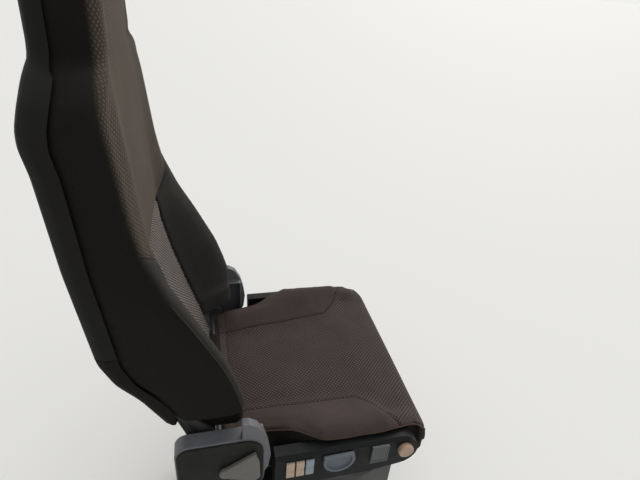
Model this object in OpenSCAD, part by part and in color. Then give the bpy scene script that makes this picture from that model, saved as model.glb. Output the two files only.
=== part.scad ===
// Driver's seat of a bus: floor base, scissor suspension in a gaiter, slide rails, seat frame with
// side fairings and controls, sliding cushion and a reclining high back.
// Millimetres. Z is up, the seat faces -Y, the driver's right is -X.
// The origin is on the floor, in the middle of the four floor bolts.

/* [Floor base] */
// Distance between the floor bolts across the seat
bolt_x = 290; // [270:1:300]
// Distance between the floor bolts along the seat
bolt_y = 340; // [300:1:360]
// Radius of a floor bolt's hole
bolt_r = 5.5; // [4.5:0.5:6.5]
// Distance from the floor bolts to the base plate's long edges
bolt_side = 20; // [18:1:30]
// Distance from the floor bolts to the base plate's short edges
bolt_end = 50; // [45:1:65]
// Thickness of the base plate
base_t = 4; // [3:0.5:5]
// Wall thickness of the pressed frames
frame_wall = 3; // [2:0.5:4]
// Width of both pressed frames over their channels
channel_w = 254; // [250:1:258]

/* [Suspension] */
// Distance between the pivots of an arm
arm_l = 380; // [370:1:390]
// Height of the upper pivots over the lower ones
arm_rise = 180; // [160:1:190]
// Height of an arm's bar
arm_h = 26; // [22:1:28]
// Thickness of an arm's bar
arm_t = 6; // [5:0.5:7]
// Radius of a roller
roller_r = 14; // [12:0.5:15]
// Room over and under a roller in its channel
roller_play = 4; // [3.5:0.5:6]
// Radius of a pivot shaft
shaft_r = 8; // [7:0.5:9]
// Number of folds of the gaiter
gaiter_folds = 5; // [4:1:6]

/* [Seat frame] */
// Distance between the two slide rails
rail_gap = 230; // [200:1:240]
// Length of a slide rail
rail_l = 360; // [340:1:380]
// Width of the seat frame
seat_w = 452; // [448:1:456]
// Length of the seat frame in front of the origin
seat_front = 225; // [210:1:235]
// Height of the seat frame's sides
seat_wall_h = 84; // [76:1:86]
// Thickness of the seat frame's sheet
sheet = 3; // [2:0.5:4]

/* [Cushion] */
// Height of the cushion's underside over the floor
cushion_z = 375; // [372:1:380]
// Width of the cushion between the fairings
cushion_w = 468; // [460:1:470]
// Width of the cushion over its bolsters
bolster_w = 514; // [500:1:524]
// Y of the cushion's front edge
cushion_front = -290; // [-300:1:-280]
// Y of the cushion's rear edge
cushion_rear = 138; // [130:1:140]

/* [Backrest] */
// Y of the recline axis
hinge_y = 166; // [164:1:170]
// Height of the recline axis
hinge_z = 475; // [472:1:478]
// Width of the backrest
back_w = 480; // [470:1:490]
// Width of the backrest's insert
insert_w = 250; // [230:1:270]
// Height of the top of the head restraint
back_top = 1375; // [1350:1:1390]
// Thickness of the rear shell
shell_t = 4; // [3:0.5:5]

/* [Side fairings] */
// Width of a fairing
fairing_w = 30; // [28:1:34]
// Height of a fairing's top edge
fairing_top = 490; // [486:1:492]
// Height of the lower edge of a fairing's face
face_low = 396; // [390:1:404]
// Y of a fairing's front end
fairing_front = -250; // [-256:1:-244]
// Y of a fairing's rear end
fairing_rear = 62; // [58:1:66]

/* [Recliner covers] */
// Width of a recliner cover
cover_w = 32; // [28:1:36]
// Height of a cover's flat top over the recline axis
cover_rise = 82; // [78:1:82]
// Depth of a cover's underside below the recline axis
cover_drop = 92; // [88:1:94]
// Y of a cover's rear edge
cover_rear = 250; // [246:1:252]
// Y of a cover's front edge
cover_front = 82; // [80:1:86]

/* [Hidden] */
$fn = 48;
run_fit = 0.05;    // radial room of a shaft in its bore
seam = 0.6;        // room between two sewn pieces

// Suspension
base_w = bolt_x + 2 * bolt_side;
base_l = bolt_y + 2 * bolt_end;
channel_l = base_l - 20;    // length of both pressed frames
window_w = base_w - 160;    // opening through both pressed frames' plates
window_l = base_l - 140;
pivot_half = arm_l * cos(asin(arm_rise / arm_l)) / 2;
channel_h = 2 * (roller_r + roller_play);
pivot_z = base_t + roller_r + roller_play;
base_rim_z = base_t + channel_h;
upper_pivot_z = pivot_z + arm_rise;
upper_rim_z = upper_pivot_z - roller_r - roller_play - frame_wall;
upper_top_z = upper_pivot_z + roller_r + roller_play + base_t;
channel_open = 29;                                    // depth of a channel, seen from inside
outer_arm_x = channel_w / 2 - channel_open - 2 - arm_t;   // inner face of an outer arm
inner_arm_x = outer_arm_x - 4 - arm_t;
roller_w = 16;
roller_x = channel_w / 2 - frame_wall - 4 - roller_w;
gaiter_wall = 2.5;
gaiter_step = 11;
gaiter_w = base_w - 4;
gaiter_l = base_l - 4;
rim_w = gaiter_w - 2 * gaiter_step;

// Rails
rail_w = 44;
rail_h = 24;
rail_wall = 2.5;
rail_play = 0.8;
rail_slot = 20;
rail_z = upper_top_z;
rail_top_z = rail_z + rail_h + 8;

// Seat frame
seat_z = rail_top_z;
seat_rear = 190;
wall_x = seat_w / 2;
bracket_t = 6;
bracket_x = wall_x;
arm_plate_t = 6;
arm_plate_gap = 4;
arm_plate_x = bracket_x - arm_plate_gap - arm_plate_t;
hinge_r = 9;
hub_r = 34;

// Tilt frame and cushion runners
tilt_y = 120;
tilt_z = seat_z + seat_wall_h - 14;
tilt_r = 6;
runner_x = 160;
runner_w = 24;
runner_h = 18;
runner_play = 1;
guide_wall = 3;
pan_t = 4;
guide_z = cushion_z - pan_t - runner_h - 0.6;

// Fairings and covers
cushion_room = 7;
fairing_x = cushion_w / 2 + cushion_room;
fairing_face = fairing_x + fairing_w;
cover_x = bracket_x + bracket_t;
cover_face = cover_x + cover_w;
cover_wall = 3;
disc_t = 4;

function mix(a, b, t) = a + (b - a) * t;
function unit(t) = max(0, min(1, t));
function smooth(t) = let (u = unit(t)) u * u * (3 - 2 * u);

// Cushion: height of the insert and of the bolsters' crest, and half the width, by Y
insert_z = [[-290, 444], [-284, 470], [-270, 484], [-250, 489], [-180, 490], [-60, 481], [60, 474], [140, 470]];
crest_z = [[-290, 444], [-284, 470], [-270, 487], [-240, 502], [-180, 514], [-40, 517], [35, 504], [140, 488]];
half_w = [[-290, 0.93], [-280, 0.95], [-265, 0.965], [-240, 0.985], [-190, 1], [-40, 1], [0, 0.955], [38, 0.85],
    [60, 0.832], [140, 0.832]];
insert_half = [[-198, 229], [-175, 184], [-139, 148], [100, 131], [140, 130]];
lip_rear = -199;                    // rear edge of the front lip, which is as wide as the cushion
lip_under = 425;                    // underside of the lip's corners, in front of the fairings
wing_under = fairing_top + 5;       // underside of the bolsters over the fairings
wing_start = fairing_front - 15;    // in front of this Y the lip's corners hang down
function narrow_y(x) = 38 * (0.955 - 2 * x / bolster_w) / 0.105;    // Y where half the width falls to x
function cushion_half(y) = bolster_w / 2 * lookup(y, half_w);
function cushion_top(x, y) =
    let (a = abs(x), w = cushion_half(y), i = min(lookup(y, insert_half), w - 20))
    let (low = lookup(y, insert_z), high = lookup(y, crest_z))
    let (rise = smooth((a - i * 0.8) / (w - 24 - i * 0.8)), drop = unit((a - w + 20) / 20))
    mix(low, high, rise) - 20 * (1 - sqrt(1 - drop * drop));
function cushion_under(x, y) = abs(x) <= cushion_w / 2 + 0.01 ? cushion_z : y < wing_start ? lip_under : wing_under;

// Widths over a cushion row, from inner (s = 0) to half (s = 1), with a station where the overhang starts
function cushion_x(inner, half, s) =
    let (knee = half > cushion_w / 2 && inner < cushion_w / 2 - 2 ? cushion_w / 2 : mix(inner, half, 0.8))
    s <= 0.7 ? mix(inner, knee, s / 0.7) : mix(knee, half, (s - 0.7) / 0.3);

// Backrest: front of the insert, front of the bolsters, rear and half the width, by height
head_z = 1205;       // height at which the head restraint starts
insert_y = [[470, 168], [491, 172], [576, 193], [668, 221], [754, 245], [827, 260], [891, 267], [1020, 273],
    [1110, 278], [head_z - 25, 281], [head_z, 284], [1290, 280], [back_top - 30, 284], [back_top - 10, 293],
    [back_top, 306]];
crest_y = [[470, 118], [532, 112], [616, 113], [658, 124], [712, 142], [800, 185], [873, 224], [942, 248],
    [1020, 258], [1110, 267], [head_z - 25, 275], [head_z, 280], [1290, 280], [back_top - 30, 285],
    [back_top - 10, 295], [back_top, 308]];
rear_y = [[470, 220], [532, 237], [578, 253], [661, 301], [707, 337], [754, 356], [930, 374], [1079, 382],
    [1118, 388], [head_z - 60, 385], [head_z - 35, 380], [head_z, 378], [back_top - 75, 376], [back_top - 30, 370],
    [back_top - 10, 361], [back_top, 348]];
step_z = 585;        // height at which the bolsters step out over the recliner covers
back_half = [[step_z, 0.885], [step_z + 8, 1], [head_z - 65, 1], [head_z - 40, 0.945], [head_z - 25, 0.875],
    [head_z - 10, 0.775], [head_z, 0.66], [head_z + 20, 0.63], [back_top - 35, 0.6], [back_top - 13, 0.55],
    [back_top, 0.46]];
frame_room = 26;     // depth behind the pads for the frame and the rear shell
bolster_top = 880;   // height at which the bolsters end at the insert
bolster_slope = 0.7;
slant_z = 800;       // over this height the bolsters' rows slant up to that end
pad_low = 492;
wing_low = 534;
shell_low = 770;
function back_w_at(z) = back_w / 2 * lookup(z, back_half);
function back_front(x, z) =
    let (a = abs(x), w = back_w_at(z), i = insert_w / 2)
    let (low = lookup(z, insert_y), high = lookup(z, crest_y))
    let (rise = smooth((a - i + 12) / (w - 26 - i + 12)), drop = unit((a - w + 22) / 22))
    let (turn = 9 * unit((z - 880) / 120) * unit((head_z - z) / 60) * smooth((a - w + 70) / 50))
    mix(low, high, rise) + turn + min(24, 0.35 * (lookup(z, rear_y) - low)) * (1 - sqrt(1 - drop * drop));
function back_rear(x, z) =
    let (a = abs(x), w = back_w_at(z), drop = unit((a - w + 30) / 30), rear = lookup(z, rear_y))
    rear - min(22, 0.25 * (rear - lookup(z, insert_y))) * (1 - sqrt(1 - drop * drop));

module both_sides() {
    children();
    mirror([1, 0, 0]) children();
}

module driver_left() {
    mirror([1, 0, 0]) children();
}

// A flat plate in the YZ plane: its outline's points are [y, z], its near face is at x
module plate_x(x, t) {
    translate([x, 0, 0]) rotate([90, 0, 90]) linear_extrude(t) children();
}

module rod_x(x, y, z, length, r) {
    translate([x, y, z]) rotate([0, 90, 0]) cylinder(h = length, r = r);
}

module box(x0, x1, y0, y1, z0, z1) {
    translate([x0, y0, z0]) cube([x1 - x0, y1 - y0, z1 - z0]);
}

module round_rect(w, l, r) {
    for (sx = [-1, 1]) for (sy = [-1, 1])
        translate([sx * (w / 2 - r), sy * (l / 2 - r)]) circle(r);
    square([w - 2 * r, l], center = true);
    square([w, l - 2 * r], center = true);
}

// Points of an arc of radius r round c, from one angle to another
function arc(c, r, from, to, steps) = [for (k = [0 : steps])
    let (t = mix(from, to, k / steps)) c + r * [cos(t), sin(t)]];

// The points of a path with each inner corner rounded over a length cut, in steps
function rounded(points, cut, steps) = [for (i = [0 : len(points) - 1])
    each i == 0 || i == len(points) - 1 ? [points[i]]
        : let (p = points[i], to_a = points[i - 1] - p, to_b = points[i + 1] - p)
          let (a = p + to_a * cut / norm(to_a), b = p + to_b * cut / norm(to_b))
          [for (k = [0 : steps]) let (t = k / steps) (1 - t) * (1 - t) * a + 2 * t * (1 - t) * p + t * t * b]];

// A tube swept along points, its first cross direction square to side
module swept_tube(points, r, side, sides = 16) {
    last = len(points) - 1;
    function along(i) = let (d = points[min(i + 1, last)] - points[max(i - 1, 0)]) d / norm(d);
    rings = [for (i = [0 : last]) let (t = along(i), c = cross(t, side), u = c / norm(c), v = cross(t, u))
        for (k = [0 : sides - 1]) points[i] + r * (cos(360 * k / sides) * u + sin(360 * k / sides) * v)];
    faces = concat(
        [for (i = [0 : last - 1]) for (k = [0 : sides - 1]) let (n = (k + 1) % sides, a = i * sides, b = a + sides)
            each [[a + k, b + n, b + k], [a + k, a + n, b + n]]],
        [[for (k = [0 : sides - 1]) sides - 1 - k], [for (k = [0 : sides - 1]) last * sides + k]]);
    polyhedron(rings, [for (f = faces) [for (k = [len(f) - 1 : -1 : 0]) f[k]]]);
}

// Closed solid between two grids of points, low[i][j] and high[i][j]
module between(low, high) {
    rows = len(low);
    cols = len(low[0]);
    n = rows * cols;
    points = [for (grid = [low, high]) for (row = grid) for (p = row) p];
    function id(k, i, j) = k * n + i * cols + j;
    function quad(a, b, c, d) = [[a, b, c], [a, c, d]];
    faces = concat(
        [for (i = [0 : rows - 2]) for (j = [0 : cols - 2])
            each quad(id(1, i, j), id(1, i, j + 1), id(1, i + 1, j + 1), id(1, i + 1, j))],
        [for (i = [0 : rows - 2]) for (j = [0 : cols - 2])
            each quad(id(0, i, j), id(0, i + 1, j), id(0, i + 1, j + 1), id(0, i, j + 1))],
        [for (i = [0 : rows - 2]) each quad(id(0, i, 0), id(1, i, 0), id(1, i + 1, 0), id(0, i + 1, 0))],
        [for (i = [0 : rows - 2]) let (j = cols - 1)
            each quad(id(0, i, j), id(0, i + 1, j), id(1, i + 1, j), id(1, i, j))],
        [for (j = [0 : cols - 2]) each quad(id(0, 0, j + 1), id(1, 0, j + 1), id(1, 0, j), id(0, 0, j))],
        [for (j = [0 : cols - 2]) let (i = rows - 1)
            each quad(id(0, i, j), id(1, i, j), id(1, i, j + 1), id(0, i, j + 1))]);
    polyhedron(points, faces);
}

// A pressed frame: a plate, two channels that open inwards, end walls and a rim for the gaiter
module pressed_frame() {
    outer = channel_w / 2;
    inner = outer - channel_open;
    end = channel_l / 2;
    both_sides() box(outer - frame_wall, outer, -end, end, 0, channel_h);
    for (s = [-1, 1]) translate([0, s * (end - frame_wall / 2), channel_h / 2])
        cube([channel_w, frame_wall, channel_h], center = true);
    translate([0, 0, channel_h]) linear_extrude(frame_wall) difference() {
        round_rect(rim_w, channel_l, 20);
        square([2 * inner, channel_l - 50], center = true);
    }
}

module pivot_blocks() {
    both_sides() difference() {
        box(roller_x, channel_w / 2 - frame_wall, pivot_half - 15, pivot_half + 15, 0, channel_h);
        rod_x(roller_x - 1, pivot_half, channel_h / 2, 40, shaft_r + run_fit);
    }
}

module base_frame() {
    color("#2c2d2f") {
        linear_extrude(base_t) difference() {
            round_rect(base_w, base_l, 18);
            square([window_w, window_l], center = true);
            for (sx = [-1, 1]) for (sy = [-1, 1]) translate([sx * bolt_x / 2, sy * bolt_y / 2]) circle(bolt_r);
        }
        translate([0, 0, base_t]) {
            pressed_frame();
            pivot_blocks();
        }
    }
}

module upper_frame() {
    color("#2c2d2f") {
        translate([0, 0, upper_top_z - base_t]) {
            mirror([0, 0, 1]) {
                pressed_frame();
                pivot_blocks();
            }
            linear_extrude(base_t) difference() {
                round_rect(rim_w, channel_l, 18);
                square([window_w, window_l], center = true);
            }
        }
    }
}

// One pair of arms: two bars on a fixed pivot shaft and a roller shaft
module arm_pair(bar_x, rise, centre_hole) {
    angle = atan2(rise, -2 * pivot_half);
    both_sides() {
        difference() {
            translate([bar_x, 0, 0]) rotate([angle, 0, 0]) {
                translate([0, 0, -arm_h / 2]) cube([arm_t, arm_l, arm_h]);
                rod_x(0, 0, 0, arm_t, arm_h / 2);
                rod_x(0, arm_l, 0, arm_t, arm_h / 2);
            }
            if (centre_hole > 0)
                rod_x(bar_x - 1, -pivot_half, rise / 2, arm_t + 2, centre_hole);
        }
        rod_x(roller_x, -2 * pivot_half, rise, roller_w, roller_r);
    }
    rod_x(-roller_x - roller_w, 0, 0, 2 * (roller_x + roller_w), shaft_r);
    rod_x(-roller_x - 1, -2 * pivot_half, rise, 2 * (roller_x + 1), shaft_r);
}

centre_pin_r = 6;
module arm_pair_outer() {
    color("#3a3c3e") translate([0, pivot_half, pivot_z]) {
        arm_pair(outer_arm_x, arm_rise, 0);
        both_sides() {
            rod_x(inner_arm_x - 2, -pivot_half, arm_rise / 2, outer_arm_x - inner_arm_x + 2, centre_pin_r);
            rod_x(inner_arm_x - 6, -pivot_half, arm_rise / 2, 4, centre_pin_r + 6);
        }
    }
}

module arm_pair_inner() {
    color("#46484a") translate([0, pivot_half, upper_pivot_z])
        arm_pair(inner_arm_x, -arm_rise, centre_pin_r + 4);
}

// The gaiter's outline at one level, corner by corner: narrow at even levels, wide at odd ones
function gaiter_ring(level, inset) =
    let (fold = level % 2 == 1 ? 0 : gaiter_step, r = 30 - inset, z0 = base_rim_z + frame_wall)
    let (w = gaiter_w / 2 - fold - inset - r, l = gaiter_l / 2 - fold - inset - r)
    let (z = z0 + level * (upper_rim_z - z0) / (2 * gaiter_folds))
    [for (c = [0 : 3]) for (k = [0 : 6]) let (t = 90 * c + 15 * k, sx = c == 0 || c == 3 ? 1 : -1, sy = c < 2 ? 1 : -1)
        [sx * w + r * cos(t), sy * l + r * sin(t), z]];

// A closed wall between outer and inner rings of points, from the lowest ring to the highest
module ring_wall(outer, inner) {
    rows = len(outer);
    n = len(outer[0]);
    points = [for (grid = [outer, inner]) for (row = grid) for (p = row) p];
    function id(k, i, j) = (k * rows + i) * n + j % n;
    function quad(a, b, c, d) = [[a, b, c], [a, c, d]];
    faces = concat(
        [for (i = [0 : rows - 2]) for (j = [0 : n - 1])
            each quad(id(0, i, j), id(0, i + 1, j), id(0, i + 1, j + 1), id(0, i, j + 1))],
        [for (i = [0 : rows - 2]) for (j = [0 : n - 1])
            each quad(id(1, i, j), id(1, i, j + 1), id(1, i + 1, j + 1), id(1, i + 1, j))],
        [for (j = [0 : n - 1]) each quad(id(0, 0, j), id(0, 0, j + 1), id(1, 0, j + 1), id(1, 0, j))],
        [for (j = [0 : n - 1]) let (i = rows - 1)
            each quad(id(0, i, j), id(1, i, j), id(1, i, j + 1), id(0, i, j + 1))]);
    polyhedron(points, faces);
}

module gaiter() {
    levels = [0 : 2 * gaiter_folds];
    color("#1b1b1c")
        ring_wall([for (i = levels) gaiter_ring(i, 0)], [for (i = levels) gaiter_ring(i, gaiter_wall)]);
}

module slide_rails_lower() {
    color("#55585a") both_sides() translate([rail_gap / 2, 0, rail_z]) difference() {
        box(-rail_w / 2, rail_w / 2, -rail_l / 2, rail_l / 2, 0, rail_h);
        box(-rail_w / 2 + rail_wall, rail_w / 2 - rail_wall, -rail_l, rail_l, rail_wall, rail_h - rail_wall);
        box(-rail_slot / 2, rail_slot / 2, -rail_l, rail_l, rail_wall, rail_h + 1);
    }
}

module slide_rails_upper() {
    foot = rail_w / 2 - rail_wall - rail_play;
    web = rail_slot / 2 - 3;
    color("#6a6d70") both_sides() translate([rail_gap / 2, 0, rail_z]) {
        box(-foot, foot, -rail_l / 2, rail_l / 2, rail_wall + rail_play, rail_h - rail_wall - rail_play - 6);
        box(-web, web, -rail_l / 2, rail_l / 2, rail_h - rail_wall - rail_play - 6, rail_h + 3);
        box(-rail_w / 2, rail_w / 2, -rail_l / 2, rail_l / 2, rail_h + 3, rail_h + 8);
    }
}

module seat_frame() {
    color("#242527") {
        translate([0, 0, seat_z]) difference() {
            box(-wall_x, wall_x, -seat_front, seat_rear, 0, seat_wall_h);
            box(-wall_x + sheet, wall_x - sheet, -seat_front + sheet, seat_rear - sheet, sheet, seat_wall_h + 1);
            box(-80, 80, -150, 130, -1, sheet + 1);
            both_sides() rod_x(wall_x - 20, tilt_y, tilt_z - seat_z, 30, tilt_r + run_fit);
            box(-wall_x + 40, wall_x - 40, -seat_front - 1, -seat_front + sheet + 1, 50, seat_wall_h + 1);
            box(-wall_x + 40, wall_x - 40, seat_rear - sheet - 1, seat_rear + 1, 50, seat_wall_h + 1);
        }
    }
}

module slide_handle() {
    y = -seat_front - 4;
    z = seat_z - 12;
    x = rail_gap / 2 - 40;
    color("#1c1d1e") {
        swept_tube(rounded([[-x, -118, z], [-x, y - 62, z], [x, y - 62, z], [x, -118, z]], 36, 6), 6, [0, 0, 1]);
        both_sides() box(x - 8, x + 8, -140, -112, z - 8, seat_z);
    }
}

module bracket_outline() {
    difference() {
        union() {
            translate([hinge_y, hinge_z]) circle(hub_r);
            polygon([[hinge_y - hub_r, hinge_z], [hinge_y - 76, seat_z + seat_wall_h], [hinge_y - 76, seat_z + 8],
                [seat_rear, seat_z + 8], [seat_rear, seat_z + seat_wall_h + 10],
                [hinge_y + hub_r, hinge_z]]);
        }
        translate([hinge_y, hinge_z]) circle(hinge_r + run_fit);
        translate([tilt_y, tilt_z]) circle(tilt_r + run_fit);
    }
}

module recliner_bracket_right() {
    color("#2f3133") plate_x(-bracket_x - bracket_t, bracket_t) bracket_outline();
}

module recliner_bracket_left() {
    driver_left() recliner_bracket_right();
}

// Cross section of a fairing, points [x, z], without its cavity
module fairing_section() {
    low = seat_z + seat_wall_h;
    polygon([[wall_x, low - 40], [wall_x + 10, low - 40], [fairing_face, face_low], [fairing_face, fairing_top - 8],
        [fairing_face - 6, fairing_top], [fairing_x, fairing_top], [fairing_x, cushion_z - 12], [wall_x, low - 14]]);
}

// The cavity is open towards the seat frame
module fairing_cavity() {
    low = seat_z + seat_wall_h;
    w = 3;
    polygon([[wall_x - 1, low - 36], [wall_x + 8, low - 36], [fairing_face - w, face_low + w],
        [fairing_face - w, fairing_top - 8], [fairing_face - 7, fairing_top - w], [fairing_x + w, fairing_top - w],
        [fairing_x + w, cushion_z - 13], [wall_x + w, low - 15], [wall_x - 1, low - 15]]);
}

// Side view of a fairing, points [y, z]: round front end, straight rear end
module fairing_side(inset) {
    round_end = 42;
    low = seat_z + seat_wall_h - 42 + inset;
    rear = fairing_rear - inset;
    polygon(concat(arc([fairing_front + round_end, fairing_top - round_end], round_end - inset, 90, 262, 12),
        [[fairing_front + 96 + inset, face_low + 2 + inset], [fairing_front + 120 + inset, low], [rear, low],
            [rear, fairing_top - inset]]));
}

module fairing_right() {
    length = fairing_rear - fairing_front;
    color("#17191b") difference() {
        intersection() {
            mirror([1, 0, 0]) translate([0, fairing_rear, 0]) rotate([90, 0, 0]) linear_extrude(length)
                fairing_section();
            plate_x(-fairing_face - 1, 2 * fairing_w + 20) fairing_side(0);
        }
        intersection() {
            mirror([1, 0, 0]) translate([0, fairing_rear, 0]) rotate([90, 0, 0]) linear_extrude(length)
                fairing_cavity();
            plate_x(-fairing_face - 1, 2 * fairing_w + 20) fairing_side(3);
        }
    }
}

module fairing_left() {
    driver_left() fairing_right();
}

key_w = 17;
key_pitch = 20;
key_y = 31;
key_z = 452;
key_h = 44;
module switch_keys() {
    color("#b9aa9c") for (i = [0 : 2]) translate([-fairing_face, key_y - i * key_pitch, key_z])
        difference() {
            translate([-5, -key_w / 2, -key_h / 2]) cube([5, key_w, key_h]);
            translate([-17, 0, 0]) rotate([90, 0, 0]) cylinder(h = key_w + 2, r = 13, center = true);
        }
}

// A half-round handle with a straight top edge and a dished face
lever_y = -70;
lever_z = 462;
module height_lever() {
    r = 34;
    color("#667177") difference() {
        plate_x(-fairing_face - 9, 9) polygon(concat(arc([lever_y, lever_z], r, 180, 360, 20),
            [[lever_y + r - 1, lever_z + 15], [lever_y - r + 3, lever_z + 17]]));
        plate_x(-fairing_face - 10, 5) polygon(concat(arc([lever_y, lever_z], r - 7, 180, 360, 20),
            [[lever_y + r - 8, lever_z + 9], [lever_y - r + 9, lever_z + 11]]));
    }
}

flap_y = -160;
flap_z = 456;
module tilt_flap() {
    w = 38;
    h = 50;
    rim = 3;
    color("#5d6162") translate([-fairing_face - 6, flap_y - w / 2, flap_z - h / 2]) difference() {
        cube([6, w, h]);
        translate([-1, rim, rim]) cube([2.5, w - 2 * rim, h - 2 * rim]);
    }
}

knob_y = -217;
knob_z = 459;
knob_r = 17;
knob_l = 14;
module damper_knob() {
    color("#bfa58e") rod_x(-fairing_face - knob_l, knob_y, knob_z, knob_l, knob_r);
}

// Side view of a recliner cover, points [y, z]: flat top, round rear and underside, front corner of radius front_r
module cover_outline(inset, front_r) {
    top = hinge_z + cover_rise - inset;
    low = hinge_z - cover_drop + inset;
    front = cover_front + inset;
    rear = cover_rear - inset;
    polygon(concat(arc([front + front_r, top - front_r], front_r, 180, 90, 8),
        arc([rear - 26, top - 26], 26, 90, 0, 8), arc([rear - 60, low + 60], 60, 0, -90, 10),
        arc([front + 60, low + 60], 60, -90, -180, 10)));
}

// The cover's raised front block, with a straight wall to the rear and a bulging front
block_w = 18;
block_rise = 40;
module cover_block() {
    top = hinge_z + cover_rise;
    y = cover_front;
    polygon([[y + 43, top - 14], [y + 43, top + block_rise], [y + 30, top + block_rise], [y + 14, top + 29], [y, top + 3],
        [y - 8, top - 27], [y - 12, top - 57], [y - 8, top - 92], [y + 2, top - 112], [y + 8, top - 112], [y + 8, top - 14]]);
}

module recliner_cover_right() {
    color("#66676b") difference() {
        union() {
            plate_x(-cover_face, cover_w) cover_outline(0, 5);
            plate_x(-cover_face, block_w) cover_block();
        }
        plate_x(-cover_face + cover_wall, cover_w) cover_outline(cover_wall, 5);
    }
}

module recliner_cover_left() {
    driver_left() recliner_cover_right();
}

module recliner_disc_right() {
    color("#15150f") plate_x(-cover_face - disc_t, disc_t) cover_outline(3, 36);
}

module recliner_disc_left() {
    driver_left() recliner_disc_right();
}

module recliner_lever() {
    tip = hinge_y - 8;
    color("#7b7a75") plate_x(-cover_face - disc_t - 10, 10) union() {
        translate([tip, hinge_z + 3]) circle(13);
        polygon([[tip, hinge_z + 16], [cover_front + 19, hinge_z + 51], [cover_front + 11, hinge_z + 22],
            [cover_front + 10, hinge_z - 23], [cover_front + 22, hinge_z - 33], [tip, hinge_z - 10]]);
    }
}

module tilt_frame() {
    side = wall_x - sheet - 3;
    color("#3b3d40") {
        both_sides() {
            box(side - 4, side, -190, tilt_y + 16, tilt_z - 14, tilt_z + 2);
            rod_x(side, tilt_y, tilt_z, wall_x + bracket_t - side, tilt_r);
            translate([runner_x, 0, guide_z]) difference() {
                box(-runner_w / 2 - runner_play - guide_wall, runner_w / 2 + runner_play + guide_wall, -200, 130,
                    -guide_wall, runner_h - 4);
                box(-runner_w / 2 - runner_play, runner_w / 2 + runner_play, -201, 131, 0, runner_h);
            }
        }
        for (y = [-180, 80]) box(-side, side, y, y + 24, tilt_z - 14, guide_z - guide_wall);
    }
}

module cushion_pan() {
    color("#2a2b2d") {
        half = cushion_w / 2 - 28;
        box(-half, half, cushion_front + 14, cushion_rear - 6, cushion_z - pan_t, cushion_z);
        both_sides() box(runner_x - runner_w / 2, runner_x + runner_w / 2, cushion_front + 90, cushion_rear - 18,
            cushion_z - pan_t - runner_h, cushion_z - pan_t);
    }
}

insert_steps = [-1, -0.8, -0.5, 0, 0.5, 0.8, 1];
module cushion_insert() {
    lip_rows = [cushion_front, -286, -281, wing_start - 1, fairing_front - 2, -240, lip_rear];
    insert_rows = [lip_rear + seam, -175, -139, -80, 0, 70, cushion_rear];
    rows = concat([for (y = lip_rows) [y, cushion_half(y)]], [[lip_rear + 0.2, fairing_x - 2]],
        [for (y = insert_rows) [y, lookup(y, insert_half) - seam]]);
    half_steps = [0.35, 0.6, 0.7, 0.73, 0.85, 0.93, 1];
    steps = concat([for (i = [6 : -1 : 0]) -half_steps[i]], [0], half_steps);
    function across(s, half) = sign(s) * cushion_x(0, half, abs(s));
    color("#3b3230") between(
        [for (s = steps) [for (r = rows) let (x = across(s, r[1])) [x, r[0], cushion_under(x, r[0])]]],
        [for (s = steps) [for (r = rows) let (x = across(s, r[1]))
            [x, r[0], max(cushion_top(x, r[0]), cushion_under(x, r[0]) + 1)]]]);
}

module cushion_bolster_right() {
    rows = [lip_rear + 1, -190, -175, -139, -90, -40, 0, narrow_y(cushion_w / 2 + 1), narrow_y(cushion_w / 2 - 1),
        38, 70, cushion_rear];
    steps = [0, 0.17, 0.35, 0.52, 0.7, 0.73, 0.82, 0.9, 0.96, 1];
    function inner(y) = lookup(y, insert_half) + seam;
    color("#33302e") mirror([1, 0, 0]) between(
        [for (s = steps) [for (y = rows) let (x = cushion_x(inner(y), cushion_half(y), s)) [x, y, cushion_under(x, y)]]],
        [for (s = steps) [for (y = rows) let (x = cushion_x(inner(y), cushion_half(y), s))
            [x, y, max(cushion_top(x, y), cushion_under(x, y) + 1)]]]);
}

module cushion_bolster_left() {
    driver_left() cushion_bolster_right();
}

upright_x = 200;
upright_r = 7.5;
module back_frame() {
    function rear(z) = lookup(z, rear_y) - shell_t - 12;
    color("#2f3133") {
        both_sides() {
            difference() {
                plate_x(arm_plate_x, arm_plate_t) union() {
                    translate([hinge_y, hinge_z]) circle(hub_r - 2);
                    polygon([[hinge_y - 24, hinge_z + 24], [208, step_z - 3], [229, step_z - 1.5], [246, step_z + 22],
                        [256, step_z + 22], [236, step_z], [hinge_y + 30, hinge_z - 12]]);
                }
                rod_x(arm_plate_x - 1, hinge_y, hinge_z, arm_plate_t + 2, hinge_r);
            }
            rod_x(arm_plate_x - 8, hinge_y, hinge_z, bracket_x + bracket_t - arm_plate_x + 8, hinge_r);
            swept_tube(rounded(concat([[arm_plate_x, 250, step_z + 17]],
                [for (z = [661, 707, 754, 930, 1079, 1120]) [upright_x, rear(z), z]]), 16, 4), upright_r, [1, 0, 0]);
        }
        for (z = [760, 1080]) rod_x(-upright_x, rear(z), z, 2 * upright_x, upright_r - 2);
        rod_x(-arm_plate_x, hinge_y, hinge_z, 2 * arm_plate_x, 7);
    }
}

back_steps = [-1, -0.97, -0.9, -0.75, -0.5, -0.25, 0, 0.25, 0.5, 0.75, 0.9, 0.97, 1];
module back_insert() {
    half = insert_w / 2 - seam;
    rows = [pad_low, 530, 576, 668, 754, 827, bolster_top - seam];
    color("#5a5148") between(
        [for (s = insert_steps) [for (z = rows) [s * half, back_rear(0, z) - frame_room, z]]],
        [for (s = insert_steps) [for (z = rows) [s * half, back_front(s * half, z), z]]]);
}

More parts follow.
